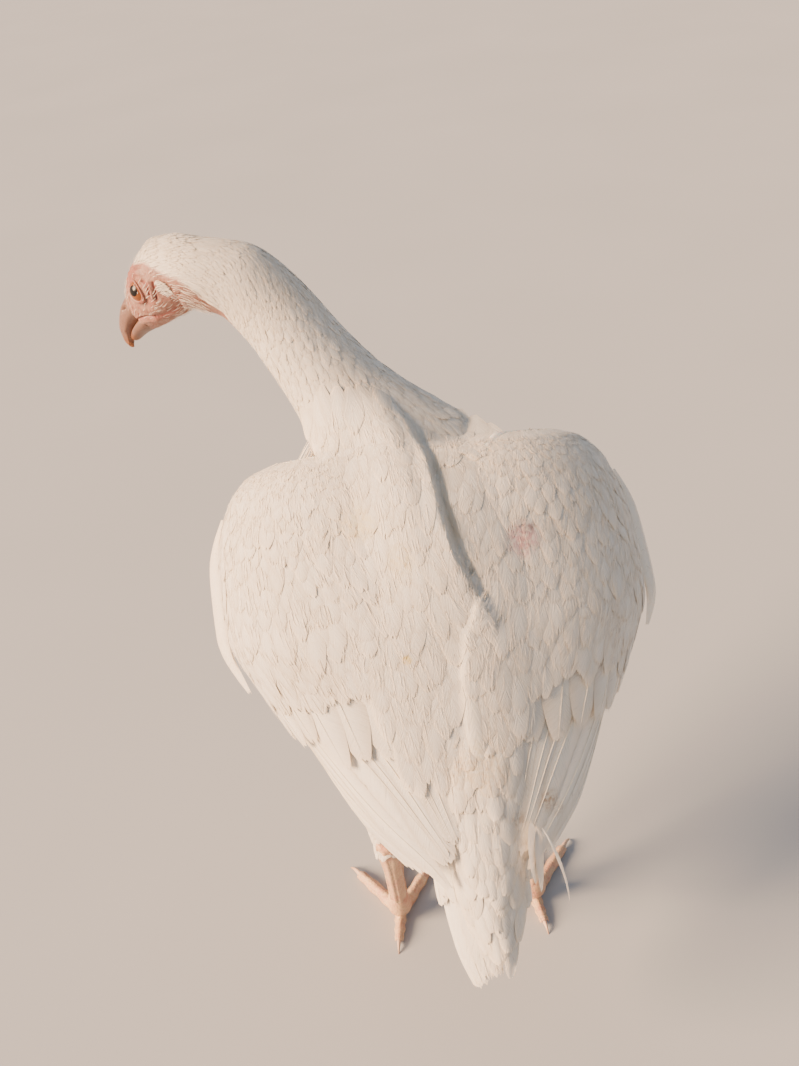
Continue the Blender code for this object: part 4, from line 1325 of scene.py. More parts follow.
@dataclass
class Skin:
    """One skin from the shanks to the beak, inside the solids by the depth of the plumage."""

    stance: Stance
    head: HeadFrame
    face: Face
    coat: float = 0.0034
    neck_coat: float = 0.0016
    neck_rings: int = 300
    neck_sides: int = 300
    fine_wrinkles: float = 0.00022
    wrinkle_scales: Pair = (620.0, 1500.0)

    def _head_part(self) -> Object:
        """The neck and the head as one fine loft with its face worked in."""
        tube = neck_tube(self.stance, self.head)
        share = np.linspace(0, 1, self.neck_rings)
        stations = np.interp(share, (0, 0.18, 0.3, 1.0), (0.0, 7.0, 8.6, tube.last))
        face = self.face

        def depth(u: Array, v: Array) -> Array:
            points = tube.place(u, v, np.zeros_like(u))
            bare = face.bare(points)
            end = np.clip((u - tube.last + 0.35) / 0.35, 0, 1)
            sunk = np.interp(u, (0.0, 3.0, 8.0, 10.0), (self.coat, self.neck_coat, 0.001, 0.0006))
            return -sunk * (1 - bare) - 0.0009 * end**2

        warped = _Restationed(tube, share, stations)
        bm = loft(warped, 0.0, 1.0, self.neck_rings, self.neck_sides, lambda u, v: depth(warped.real(u), v))
        obj = from_bmesh("skin", bm)
        points = coordinates(obj.data)
        local = self.head.local(points)
        spine = np.stack([local[:, 0], np.zeros(len(local)), np.full(len(local), 0.0004)], -1)
        out = unit((local - spine) * np.array([0.0, 1.0, 1.0]))
        front = np.clip((local[:, 0] + 0.03) / 0.006, 0, 1) * (np.linalg.norm(local, axis=1) < 0.06)
        rise = face.relief(local)[0]
        coarse, fine = self.wrinkle_scales
        wrinkle = np.array([noise.noise(Vector(point) * coarse) + 0.6 * noise.noise(Vector(point) * fine)
                            for point in points])
        bare = face.bare(points)
        local = local + out * ((rise + self.fine_wrinkles * wrinkle * bare) * front)[:, None]
        rims = np.zeros(len(local))
        for side in Side:
            mine = local[:, 1] * side.value > 0.002
            moved, rim = face.open_eye(local, side)
            local = np.where(mine[:, None], moved, local)
            rims = np.where(mine, rim, rims)
        world = self.head.middle + local @ self.head.axes
        keep = np.linalg.norm(points - self.head.middle, axis=1) > 0.07
        world[keep] = points[keep]
        set_coordinates(obj, world)
        return obj

    def _limb(self, name: str, surface: Surface, start: float, end: float, lift: float) -> Object:
        """A plain closed part of the skin that feathers cover."""
        return from_bmesh(name, loft(surface, start, end, 26, 40, lift))

    def build(self) -> Object:
        """Builds the skin and joins every part of it in one."""
        skin = self._head_part()
        trunk = body_tube(self.stance)
        limbs = [self._limb("trunk", trunk, 0.0, trunk.last, -self.coat),
                 self._limb("tail_root", TailRoot(self.stance), 0.0, 1.0, -0.002)]
        for side in Side:
            thigh = thigh_tube(self.stance, side)
            limbs.append(self._limb("thigh", thigh, 0.0, thigh.last - 0.05, -0.003))
            limbs.append(self._limb("arm", WingArm(WingSurface(self.stance, side)), 0.0, 1.0, -0.003))
        unite(skin, limbs)
        self._shade(skin)
        return skin

    def _shade(self, skin: Object) -> None:
        """Keeps where the skin is bare or flushed and how much painted shade falls in its creases and round
        the eyes, for its material.
        """
        points = coordinates(skin.data)
        local = self.head.local(points)
        bare = self.face.bare(points)
        _, flush, crease_shade = self.face.relief(local)
        close = np.linalg.norm(local, axis=1) < 0.045
        brow = dome((local[:, 0] - 0.004) / 0.01, (local[:, 2] - 0.016) / 0.006) * 0.55
        rims = np.zeros(len(points))
        for side in Side:
            _, rim = self.face.open_eye(local, side)
            rims = np.maximum(rims, np.where(local[:, 1] * side.value > 0.002, rim, 0.0))
        flush = np.clip((flush + brow) * close + 0.25 * rims * close, 0, 1)
        add_values(skin.data, "bare", bare)
        add_values(skin.data, "flush", flush * bare)
        # painted shade for the creases and the rims round the eyes
        add_values(skin.data, "crease_shade", np.clip(crease_shade * close + 0.55 * rims * close, 0, 1) * bare)
        coated(skin, SkinFinish().make())
        dress(skin, ("torso", "neck", "head", "comb", "thigh_left", "thigh_right"))


class _Restationed(Surface):
    """A tube read by even steps that are spread over its stations as a table says."""

    def __init__(self, tube: Tube, share: Array, stations: Array) -> None:
        """Keeps the tube and the table."""
        self.tube, self.share, self.stations = tube, share, stations

    def real(self, u: Array) -> Array:
        """The tube's own stations."""
        return np.interp(u, self.share, self.stations)

    def place(self, u: Array, v: Array, lift: Array) -> Array:
        """Points on the tube."""
        return self.tube.place(self.real(u), v, lift)


class TailRoot(Surface):
    """The flesh of the tail's root as a short closed tube."""

    def __init__(self, stance: Stance) -> None:
        """Keeps its sizes."""
        self.stance = stance
        self.table = SmoothTable((0.0, 0.02, 0.045, 0.062),
                                 ((0.02, 0.015, 0.018), (0.022, 0.013, 0.015), (0.018, 0.009, 0.008),
                                  (0.01, 0.006, 0.001)))

    def place(self, u: Array, v: Array, lift: Array) -> Array:
        """Points on it; u runs from inside the trunk to its end."""
        back = u * 0.07 - 0.012
        half, rise, drop = np.moveaxis(self.table.at(np.maximum(back, 0)), -1, 0)
        angle = np.radians(v)
        depth = np.where(np.cos(angle) > 0, rise, drop)
        s = TAIL_ROOT - back
        return self.stance.place((half + lift) * np.sin(angle) - swing(s), s, (depth + lift) * np.cos(angle))


class WingArm(Surface):
    """The folded arm inside a wing: its outer face follows the wing, its inner face closes it."""

    def __init__(self, wing: WingSurface) -> None:
        """Keeps the wing."""
        self.wing = wing
        self.table = table_of(WING_CORE)

    def place(self, u: Array, v: Array, lift: Array) -> Array:
        """Points on the arm; v runs out over the wing and back under it."""
        share = WING_CORE[0][0] + (WING_CORE[-1][0] - WING_CORE[0][0]) * u
        height, depth = np.moveaxis(self.table.at(share), -1, 0)
        turn = np.mod(v, 360.0)
        wrap = WING_WRAP * (1 - np.abs(turn - 180.0) / 180.0)
        under = np.where(turn > 180.0, depth * np.sin(np.pi * (0.12 + 0.76 * wrap / WING_WRAP)), 0.0)
        under = under * np.clip(np.minimum(turn - 180.0, 360.0 - turn) / 20.0, 0, 1)
        inset = lift * (1 - 2 * (turn > 180.0))
        return self.wing.place(share, wrap, height - 0.0075 * wrap / WING_WRAP - under + inset)


# Beak, eyes, legs and claws


@dataclass
class Beak:
    """Both halves of the beak, finer than the solids, with nostrils and cutting edges."""

    head: HeadFrame
    upper: tuple[tuple[float, float, float, float, float], ...] = (  # forward, up, half width, rise, drop
        (0.0165, 0.001, 0.0088, 0.0082, 0.0082), (0.0193, 0.0008, 0.0086, 0.0083, 0.0083),
        (0.0248, 0.0002, 0.0077, 0.0075, 0.0073), (0.0305, -0.0017, 0.0062, 0.0061, 0.006),
        (0.0356, -0.0052, 0.0045, 0.0048, 0.0046), (0.0386, -0.0096, 0.0029, 0.0033, 0.0031),
        (0.0393, -0.0136, 0.0014, 0.0016, 0.0016), (0.039, -0.0152, 0.0004, 0.0004, 0.0004))
    lower: tuple[tuple[float, float, float, float, float], ...] = (
        (0.0165, -0.0108, 0.008, 0.0044, 0.0048), (0.0193, -0.0108, 0.0078, 0.0044, 0.0046),
        (0.0248, -0.0106, 0.0067, 0.0037, 0.0038), (0.03, -0.0111, 0.0051, 0.003, 0.003),
        (0.0338, -0.0122, 0.0031, 0.0018, 0.002), (0.035, -0.0128, 0.001, 0.0006, 0.0008))
    nostril: Triple = (0.0236, 0.0077, 0.0026)

    def _tube(self, rows: Sequence[Sequence[float]]) -> Tube:
        """A beak half as a tube."""
        table = np.array(rows)
        centres = self.head.place(table[:, 0], 0.0, table[:, 1])
        return Tube(centres, self.head.axes[2], table[:, 2:])

    def _half(self, name: str, rows: Sequence[Sequence[float]], node: str,
              relief: Callable[[Array, Array], Array]) -> Object:
        """Builds one half.

        Args:
            name: the piece's name.
            rows: its stations.
            node: the node that it replaces.
            relief: its extra rise by u and v.

        Returns:
            The object.
        """
        tube = self._tube(rows)
        obj = from_bmesh(name, loft(tube, 0.0, tube.last, 90, 72, relief))
        local = self.head.local(coordinates(obj.data))
        reach = (local[:, 0] - rows[0][0]) / (rows[-1][0] - rows[0][0])
        drop = np.clip((-local[:, 2] - 0.003) / 0.012, 0, 1) if node == "beak_upper" else reach
        add_values(obj.data, "along", np.clip(0.45 * reach + 0.55 * drop, 0, 1))
        coated(obj, HornFinish("beak_horn").make())
        dress(obj, (node,))
        return obj

    def build(self) -> list[Object]:
        """Builds the upper half with its nostrils and the lower half."""
        tube = self._tube(self.upper)

        def upper_relief(u: Array, v: Array) -> Array:
            local = self.head.local(tube.place(u, v, np.zeros_like(u)))
            side = np.abs(local[:, 1])
            f, _, h = self.nostril
            slit = dome((local[:, 0] - f) / 0.0021, (local[:, 2] - h) / 0.0009)
            hood = dome((local[:, 0] - f) / 0.0032, (local[:, 2] - h - 0.0016) / 0.0011)
            edge = dome((np.abs(np.mod(v, 360) - 180) - 66) / 13.0)
            ridge = dome(from_top(v) / 22.0)
            grow = np.sin(u * 21.0 + np.cos(np.radians(v)) * 2.2) * 0.00004
            return (-0.0021 * slit + 0.0007 * hood) * (side > 0.002) + 0.00035 * edge + 0.0003 * ridge + grow

        def lower_relief(u: Array, v: Array) -> Array:
            edge = dome((from_top(v) - 70) / 15.0)
            return 0.0003 * edge + np.sin(u * 19.0) * 0.00003

        return [self._half("beak_upper_horn", self.upper, "beak_upper", upper_relief),
                self._half("beak_lower_horn", self.lower, "beak_lower", lower_relief)]


@dataclass
class Eye:
    """One eye, a wet ball with its iris and pupil turned the way the hen looks."""

    head: HeadFrame
    face: Face
    side: Side
    gaze: Triple = (0.08, 1.0, 0.1)
    cornea: float = 0.0005

    def build(self) -> Object:
        """Builds the eye."""
        bm = bmesh.new()
        bmesh.ops.create_uvsphere(bm, u_segments=64, v_segments=40, radius=self.face.eye_radius)
        gaze = unit(np.array([self.gaze[0], self.side.value * self.gaze[1], self.gaze[2]]))
        centre = np.array([self.face.eye_centre[0], self.side.value * self.face.eye_centre[1],
                           self.face.eye_centre[2]])
        turn = Vector((0, 0, 1)).rotation_difference(Vector(gaze @ self.head.axes)).to_matrix()
        bmesh.ops.transform(bm, verts=bm.verts, matrix=turn.to_4x4())
        obj = from_bmesh(f"eye_{self.side.word}_wet", bm)
        points = coordinates(obj.data)
        aim = unit(points) @ (gaze @ self.head.axes)
        angle = np.degrees(np.arccos(np.clip(aim, -1, 1)))
        swell = self.cornea * np.clip(1 - (angle / 42.0) ** 2, 0, 1)
        points = points * (1 + swell / self.face.eye_radius)[:, None]
        points = points + self.head.middle + centre @ self.head.axes
        set_coordinates(obj, points)
        add_values(obj.data, "turn", angle)
        coated(obj, EyeFinish(f"eye_{self.side.word}").make())
        dress(obj, (f"eye_{self.side.word}",))
        return obj


@dataclass
class Leg:
    """A bare shank and its foot: skin with pads, and scutes laid over it like plates."""

    stance: Stance
    side: Side
    voxel: float = 0.0008
    floor_gap: float = 0.00015
    joint_sink: float = 0.0005
    scute: VaneShape = VaneShape(5, 5, (0.75, 1.0, 1.0, 0.92, 0.62), thickness=0.00022)

    def _base(self) -> Object:
        """The shank, the ankle and the toes in one skin, flat where it rests on the floor."""
        shank = shank_tube(self.stance, self.side)
        obj = from_bmesh(f"leg_{self.side.word}", loft(shank, 0.0, shank.last, 50, 28))
        pieces = []
        low, high = mirrored(ANKLE, self.side, self.stance), mirrored(HOCK, self.side, self.stance)
        way = unit(high - low)
        hub_rows = np.array(((-0.007, 0.003), (-0.0045, 0.0066), (0.0, 0.0084), (0.006, 0.008),
                             (0.016, 0.0066)))
        hub = Tube(low + way * hub_rows[:, :1], FRONT, np.repeat(hub_rows[:, 1:], 3, axis=1))
        pieces.append(from_bmesh("hub", loft(hub, 0.0, hub.last, 20, 28)))
        for heading, _, length, radius, _ in TOES:
            toe = toe_tube(self.stance, self.side, heading, length, radius)
            pieces.append(from_bmesh("toe", loft(toe, 0.0, toe.last, 60, 28)))
        unite(obj, pieces)
        remesh = obj.modifiers.new("remesh", "REMESH")
        remesh.mode = "VOXEL"
        remesh.voxel_size = self.voxel
        smooth = obj.modifiers.new("smooth", "SMOOTH")
        smooth.factor, smooth.iterations = 0.5, 6
        bake_modifiers(obj)
        points = coordinates(obj.data)
        points[:, 2] = np.maximum(points[:, 2], self.floor_gap)
        set_coordinates(obj, points)
        coated(obj, LegFinish(f"leg_scales_{self.side.word}").make())
        dress(obj, (f"shank_{self.side.word}", f"foot_{self.side.word}"))
        return obj

    def _scutes(self) -> Object:
        """The scutes: two rows down the front of the shank, small ones behind, one row on each toe."""
        coat = Coat(f"scutes_{self.side.word}", SEED + 300 + self.side.value)
        shank = shank_tube(self.stance, self.side)
        for turn, count, half, lean in ((24, 15, 0.0034, 0.0), (-24, 15, 0.0034, 0.5), (70, 19, 0.0021, 0.3),
                                        (-70, 19, 0.0021,
                                         0.8), (160, 17, 0.0026, 0.2), (200, 17, 0.0026, 0.7),
                                        (115, 21, 0.0019, 0.5), (-115, 21, 0.0019, 0.0)):
            root = np.linspace(4.85, 0.35, count) - lean * 4.5 / count
            length = 1.45 * 4.5 / count
            coat.add(batch(shank, self.scute, root, turn, root - length, turn, half, 0.00002,
                           0.00042, cup=0.3, tint=coat.rng.random(count)))
        for heading, _, length, radius, scutes in TOES:
            toe = toe_tube(self.stance, self.side, heading, length, radius)
            count = scutes * 2
            root = np.linspace(1.2, toe.last - 0.7, count)
            step = (toe.last - 1.9) / count
            coat.add(batch(toe, self.scute, root, 0.0, root + step * 1.5, 0.0,
                           radius * 0.86 * (1 - 0.2 * root / toe.last), 0.0, 0.00045, cup=0.22,
                           tint=coat.rng.random(count)))
            for turn in (-72, 72):
                coat.add(batch(toe, self.scute, root, turn, root + step * 1.5, turn, radius * 0.34, 0.0,
                               0.0003, cup=0.2, tint=coat.rng.random(count)))
        return coat.finish("leg_scales", (), LegFinish(f"scute_{self.side.word}").make())

    def _claws(self) -> list[Object]:
        """The four claws."""
        claws = []
        for heading, toe, length, radius, _ in TOES:
            way = toe_way(self.side, heading)
            width = radius * 0.72 * 0.62
            base = mirrored((ANKLE[0], ANKLE[1], 0.0), self.side, self.stance) + way * length
            base[2] = radius * 0.72 * 0.92 - self.joint_sink
            share = np.linspace(-0.22, 1, 9)
            reach = CLAW_LENGTH * (0.8 if heading > 90 else 1.0)
            bend = 0.0012 * np.sin(np.pi * np.clip(share, 0, 1)) - 0.0026 * np.clip(share, 0, 1) ** 2
            line = base + way * (reach * share)[:, None] + np.array(UP) * bend[:, None]
            size = width * (1 - np.clip(share, 0, 1)) ** 0.7 + 0.00012
            claw = Tube(line, UP, np.column_stack([size * 0.8, size * 1.05, size * 0.95]))
            obj = from_bmesh(f"horn_{self.side.word}_{toe}", loft(claw, 0.0, claw.last, 34, 20))
            points = coordinates(obj.data)
            add_values(obj.data, "along", np.clip(((points - base) @ way) / reach, 0, 1))
            dark = self.side is Side.LEFT and toe == "inner"
            finish = HornFinish(f"claw_horn_{self.side.word}_{toe}", (0.66, 0.46, 0.33), (0.45, 0.27, 0.16),
                                0.4, 0.95)
            if dark:
                finish = HornFinish("dark_claw", (0.3, 0.2, 0.15), (0.1, 0.06, 0.045), 0.3, 0.8)
            coated(obj, finish.make())
            dress(obj, (f"claw_{self.side.word}_{toe}",))
            claws.append(obj)
        return claws

    def build(self) -> list[Object]:
        """Builds the leg, its scutes and its claws."""
        return [self._base(), self._scutes(), *self._claws()]


# Plumage

TINY = VaneShape(4, 3, (0.35, 0.95, 0.9, 0.2), tip_fray=0.1, thickness=0.00004)
SMALL = VaneShape(5, 5, (0.35, 0.85, 1.0, 0.85, 0.25), fray=0.05, tip_fray=0.12, thickness=0.00006)
BODY_SHAPE = VaneShape(8, 7, (0.3, 0.72, 0.95, 1.0, 0.88, 0.58, 0.14), fray=0.1, tip_fray=0.16,
                       thickness=0.00006)
PLAIN = VaneShape(6, 5, (0.3, 0.75, 0.97, 1.0, 0.84, 0.24), fray=0.08, tip_fray=0.12, thickness=0.00006)
FLUFF = VaneShape(7, 5, (0.5, 0.9, 0.8, 0.55, 0.12), fray=0.35, tip_fray=0.25, thickness=0.00006)
COVERT = VaneShape(14, 9, (0.25, 0.7, 0.95, 1.0, 1.0, 0.92, 0.66, 0.22), fray=0.035, tip_fray=0.05,
                   thickness=0.00012, crowd_tip=1.3)
FLIGHT = VaneShape(30, 9, (0.16, 0.5, 0.82, 0.96, 1.0, 1.0, 0.98, 0.9, 0.66, 0.26), fray=0.05, tip_fray=0.025,
                   thickness=0.00018, crowd_tip=1.35)
WORN = VaneShape(34, 9, FLIGHT.widths, fray=0.22, tip_fray=0.06, thickness=0.00018, crowd_tip=1.2)
SOFT = VaneShape(10, 7, (0.3, 0.72, 0.95, 1.0, 0.97, 0.8, 0.3), fray=0.08, tip_fray=0.08, thickness=0.00008)
STRAND = VaneShape(5, 3, (1.0, 0.9, 0.7, 0.2), thickness=0.00004)
SHAFT = VaneShape(16, 3, (1.0, 0.9, 0.75, 0.6, 0.42, 0.25), thickness=0.00022)


@dataclass(frozen=True)
class Tract:
    """A stretch of small feathers that grow alike. Pairs give a value where it starts and where it ends."""

    start: float
    end: float
    around: Pair
    spacing: Pair
    length: Pair
    half_width: Pair
    root_lift: float
    tip_lift: float
    shape: VaneShape = BODY_SHAPE
    way: int = -1
    overlap: float = 0.34
    cup: float = 0.14
    tilt: float = 0.05
    ruffle: float = 0.03
    rise: float = 0.001
    drift: float = 0.0
    scatter: float = 0.1
    sheet: tuple[float, float, float, float] = (0.02, 0.02, 0.98, 0.98)

    def lay(self, surface: Surface, rng: Draws,
            keep: Callable[[Array], Array] | None = None,
            flow: Callable[[Array, Array], Array] | None = None) -> Batch:
        """Sets the tract's feathers on a surface in rows.

        Args:
            surface: what they grow from.
            rng: where the random draws come from.
            keep: gives how likely a feather stays at points in the world.
            flow: gives how far the tips lie round the surface from the roots, in metres, by u and v.

        Returns:
            The batch.
        """
        roots_u, roots_v, shares = [], [], []
        sign = 1.0 if self.end > self.start else -1.0
        u, row = self.start, 0
        turn = np.linspace(self.around[0], self.around[1], 160)
        while (self.end - u) * sign > 0:
            share = (u - self.start) / (self.end - self.start)
            length = between(self.length, share)
            gap = between(self.spacing, share)
            by_u, by_v = surface.pace(np.full(160, u), turn)
            reach = np.concatenate([[0.0], np.cumsum((by_v[1:] + by_v[:-1]) / 2 * np.diff(turn))])
            count = max(int(abs(reach[-1]) / gap), 1)
            spots = (np.arange(count) + 0.5 * (row % 2) + 0.25) / count * reach[-1]
            spots = spots + rng.normal(0, self.scatter * gap * 1.4, count)
            roots_v.append(np.interp(spots, reach, turn))
            step = self.overlap * length / np.median(by_u)
            roots_u.append(u + rng.normal(0, self.scatter * step * 1.6, count))
            shares.append(np.full(count, share))
            u, row = u + sign * step, row + 1
        root_u, root_v, share = map(np.concatenate, (roots_u, roots_v, shares))
        if keep is not None:
            here = surface.place(root_u, root_v, np.zeros_like(root_u))
            stays = rng.random(len(root_u)) < keep(here)
            root_u, root_v, share = root_u[stays], root_v[stays], share[stays]
        amount = len(root_u)
        length = between(self.length, share) * rng.uniform(0.86, 1.14, amount)
        by_u, by_v = surface.pace(root_u, root_v)
        by_u = np.maximum(by_u, np.median(by_u) * 0.45)
        across = (flow(root_u, root_v) if flow is not None else 0.0) + self.drift
        across = across + rng.normal(0, 0.07, amount) * length
        tip_v = root_v + across / np.maximum(by_v, STEP_FLOOR)
        tip_u = root_u + self.way * length / np.maximum(by_u, STEP_FLOOR)
        raised = rng.random(amount) < self.ruffle
        half = between(self.half_width, share) * rng.uniform(0.88, 1.12, amount)
        low, high = min(self.start, self.end), max(self.start, self.end)
        home = (between(self.sheet[::2], (root_v - self.around[0]) / (self.around[1] - self.around[0])),
                between(self.sheet[1::2], (root_u - low) / (high - low)))
        return batch(surface, self.shape, root_u, root_v, tip_u, tip_v, half, self.root_lift,
                     self.tip_lift + rng.normal(0, 0.35, amount) * self.rise,
                     rng.choice((-1.0, 1.0), amount) * self.tilt * rng.uniform(0.4, 1.6, amount),
                     rng.normal(0, 0.06, amount) * length / np.maximum(by_v, STEP_FLOOR) * 0.5,
                     self.cup * rng.uniform(0.5, 1.5, amount),
                     np.where(raised, self.rise * rng.uniform(0.5, 1.5, amount),
                              0.0), rng.random(amount), home)


def strands(laid: Batch, rng: Draws, each: int, share: float = 1.0, half: float = 0.0002,
            stand: float = 0.0005, start: Pair = (0.45, 0.86)) -> Batch:
    """Loose barbs along the outer part of feathers that are laid already.

    Args:
        laid: the feathers.
        rng: where the random draws come from.
        each: how many a feather has.
        share: the share of the feathers that have them.
        half: a strand's half width in metres.
        stand: how far their ends may stand off.
        start: where they start, as shares of the feather's length.

    Returns:
        The strands' batch.
    """
    picks = np.repeat(np.flatnonzero(rng.random(len(laid)) < share), each)
    amount = len(picks)
    spot = rng.uniform(-0.92, 0.92, amount)
    begin = rng.uniform(*start, amount)
    end = np.minimum(begin + rng.uniform(0.16, 0.36, amount), 1.0 + rng.uniform(-0.05, 0.1, amount))
    root_u, tip_u = laid.root_u[picks], laid.tip_u[picks]
    root_v, tip_v = laid.root_v[picks], laid.tip_v[picks]
    _, by_v = laid.surface.pace(root_u, root_v)
    out = laid.half_width[picks] / np.maximum(by_v, STEP_FLOOR)
    rise = laid.tip_lift[picks] - laid.root_lift[picks]
    fall = laid.cup[picks] * spot**2 * laid.half_width[picks]

    def level(at: Array) -> Array:
        return laid.root_lift[picks] + rise * (1 - (1 - at) ** 2) - fall + 0.0001

    narrow = np.where(end > 0.85, 0.72, 1.04)
    return batch(laid.surface, STRAND, root_u + (tip_u - root_u) * begin,
                 root_v + (tip_v - root_v) * begin + spot * out * 0.92, root_u + (tip_u - root_u) * end,
                 root_v + (tip_v - root_v) * end + spot * out * narrow, half * rng.uniform(0.6, 1.5, amount),
                 level(begin), level(end) + stand * rng.random(amount), 0.0,
                 rng.normal(0, 0.03, amount) * out, 0.0, 0.0, rng.random(amount),
                 (laid.home_u[picks], laid.home_v[picks]))


@dataclass(frozen=True)
class Tier:
    """A row of large feathers, from the one nearest the back to the one at the wing's edge."""

    count: int
    roots: tuple[Pair, Pair]
    tips: tuple[Pair, Pair]
    half_width: Pair
    lift: float
    layer: float
    shape: VaneShape = FLIGHT
    sink: float = 0.0045
    cup: float = 0.07
    bow: float = 0.0
    shaft: float = 0.0
    scatter: float = 0.012
    shaft_reach: float = 0.97
    shaft_stand: float = 0.00028

    def lay(self, surface: Surface, rng: Draws, shorter: float = 0.0,
            aside: float = 0.0) -> tuple[Batch, Batch]:
        """Sets the row on a surface.

        Args:
            surface: what it grows from.
            rng: where the random draws come from.
            shorter: how much earlier the tips end, as a share of the wing's length.
            aside: how many degrees further round they end.

        Returns:
            The feathers and their shafts.
        """
        share = np.linspace(0, 1, self.count)
        root_u, root_v = (between(ends, share) for ends in zip(*self.roots))
        tip_u, tip_v = (between(ends, share) for ends in zip(*self.tips))
        tip_u = tip_u + rng.normal(0, self.scatter, self.count) - shorter
        tip_v = tip_v + rng.normal(0, self.scatter * 60, self.count) + aside
        half = between(self.half_width, share)
        half = half * rng.uniform(0.95, 1.05, self.count)
        lift = self.lift - self.layer * np.arange(self.count)
        tilt = np.full(self.count, -0.05) + rng.normal(0, 0.01, self.count)
        tint = rng.random(self.count)
        bow = self.bow + rng.normal(0, 0.25, self.count)
        spread = (np.arange(self.count) + 0.5) / self.count
        vanes = batch(surface, self.shape, root_u, root_v, tip_u, tip_v, half, lift - self.sink, lift, tilt,
                      bow, self.cup, 0.0, tint, (spread, spread * 0 + 0.5))
        end_u, end_v = (root + (tip - root) * self.shaft_reach for root,
                        tip in ((root_u, tip_u), (root_v, tip_v)))
        shafts = batch(surface, SHAFT, root_u, root_v, end_u, end_v, self.shaft,
                       lift - self.sink + self.shaft_stand, lift + self.shaft_stand, tilt, bow, 0.1, 0.0,
                       tint, (spread, spread * 0 + 0.5))
        return vanes, shafts


class Shoulder(Surface):
    """The top of a folded wing where the arm's flesh lifts its small coverts."""

    def __init__(self, wing: WingSurface) -> None:
        """Keeps the wing."""
        self.wing = wing

    def place(self, u: Array, v: Array, lift: Array) -> Array:
        """Points over the arm."""
        swell = 0.0046 * np.interp(u, (-0.03, 0.0, 0.3, 0.5, 0.64), (0.6, 1.0, 1.0, 0.55, 0.2))
        return self.wing.place(u, v, lift + swell - 0.0036 * np.abs(v) / WING_WRAP)


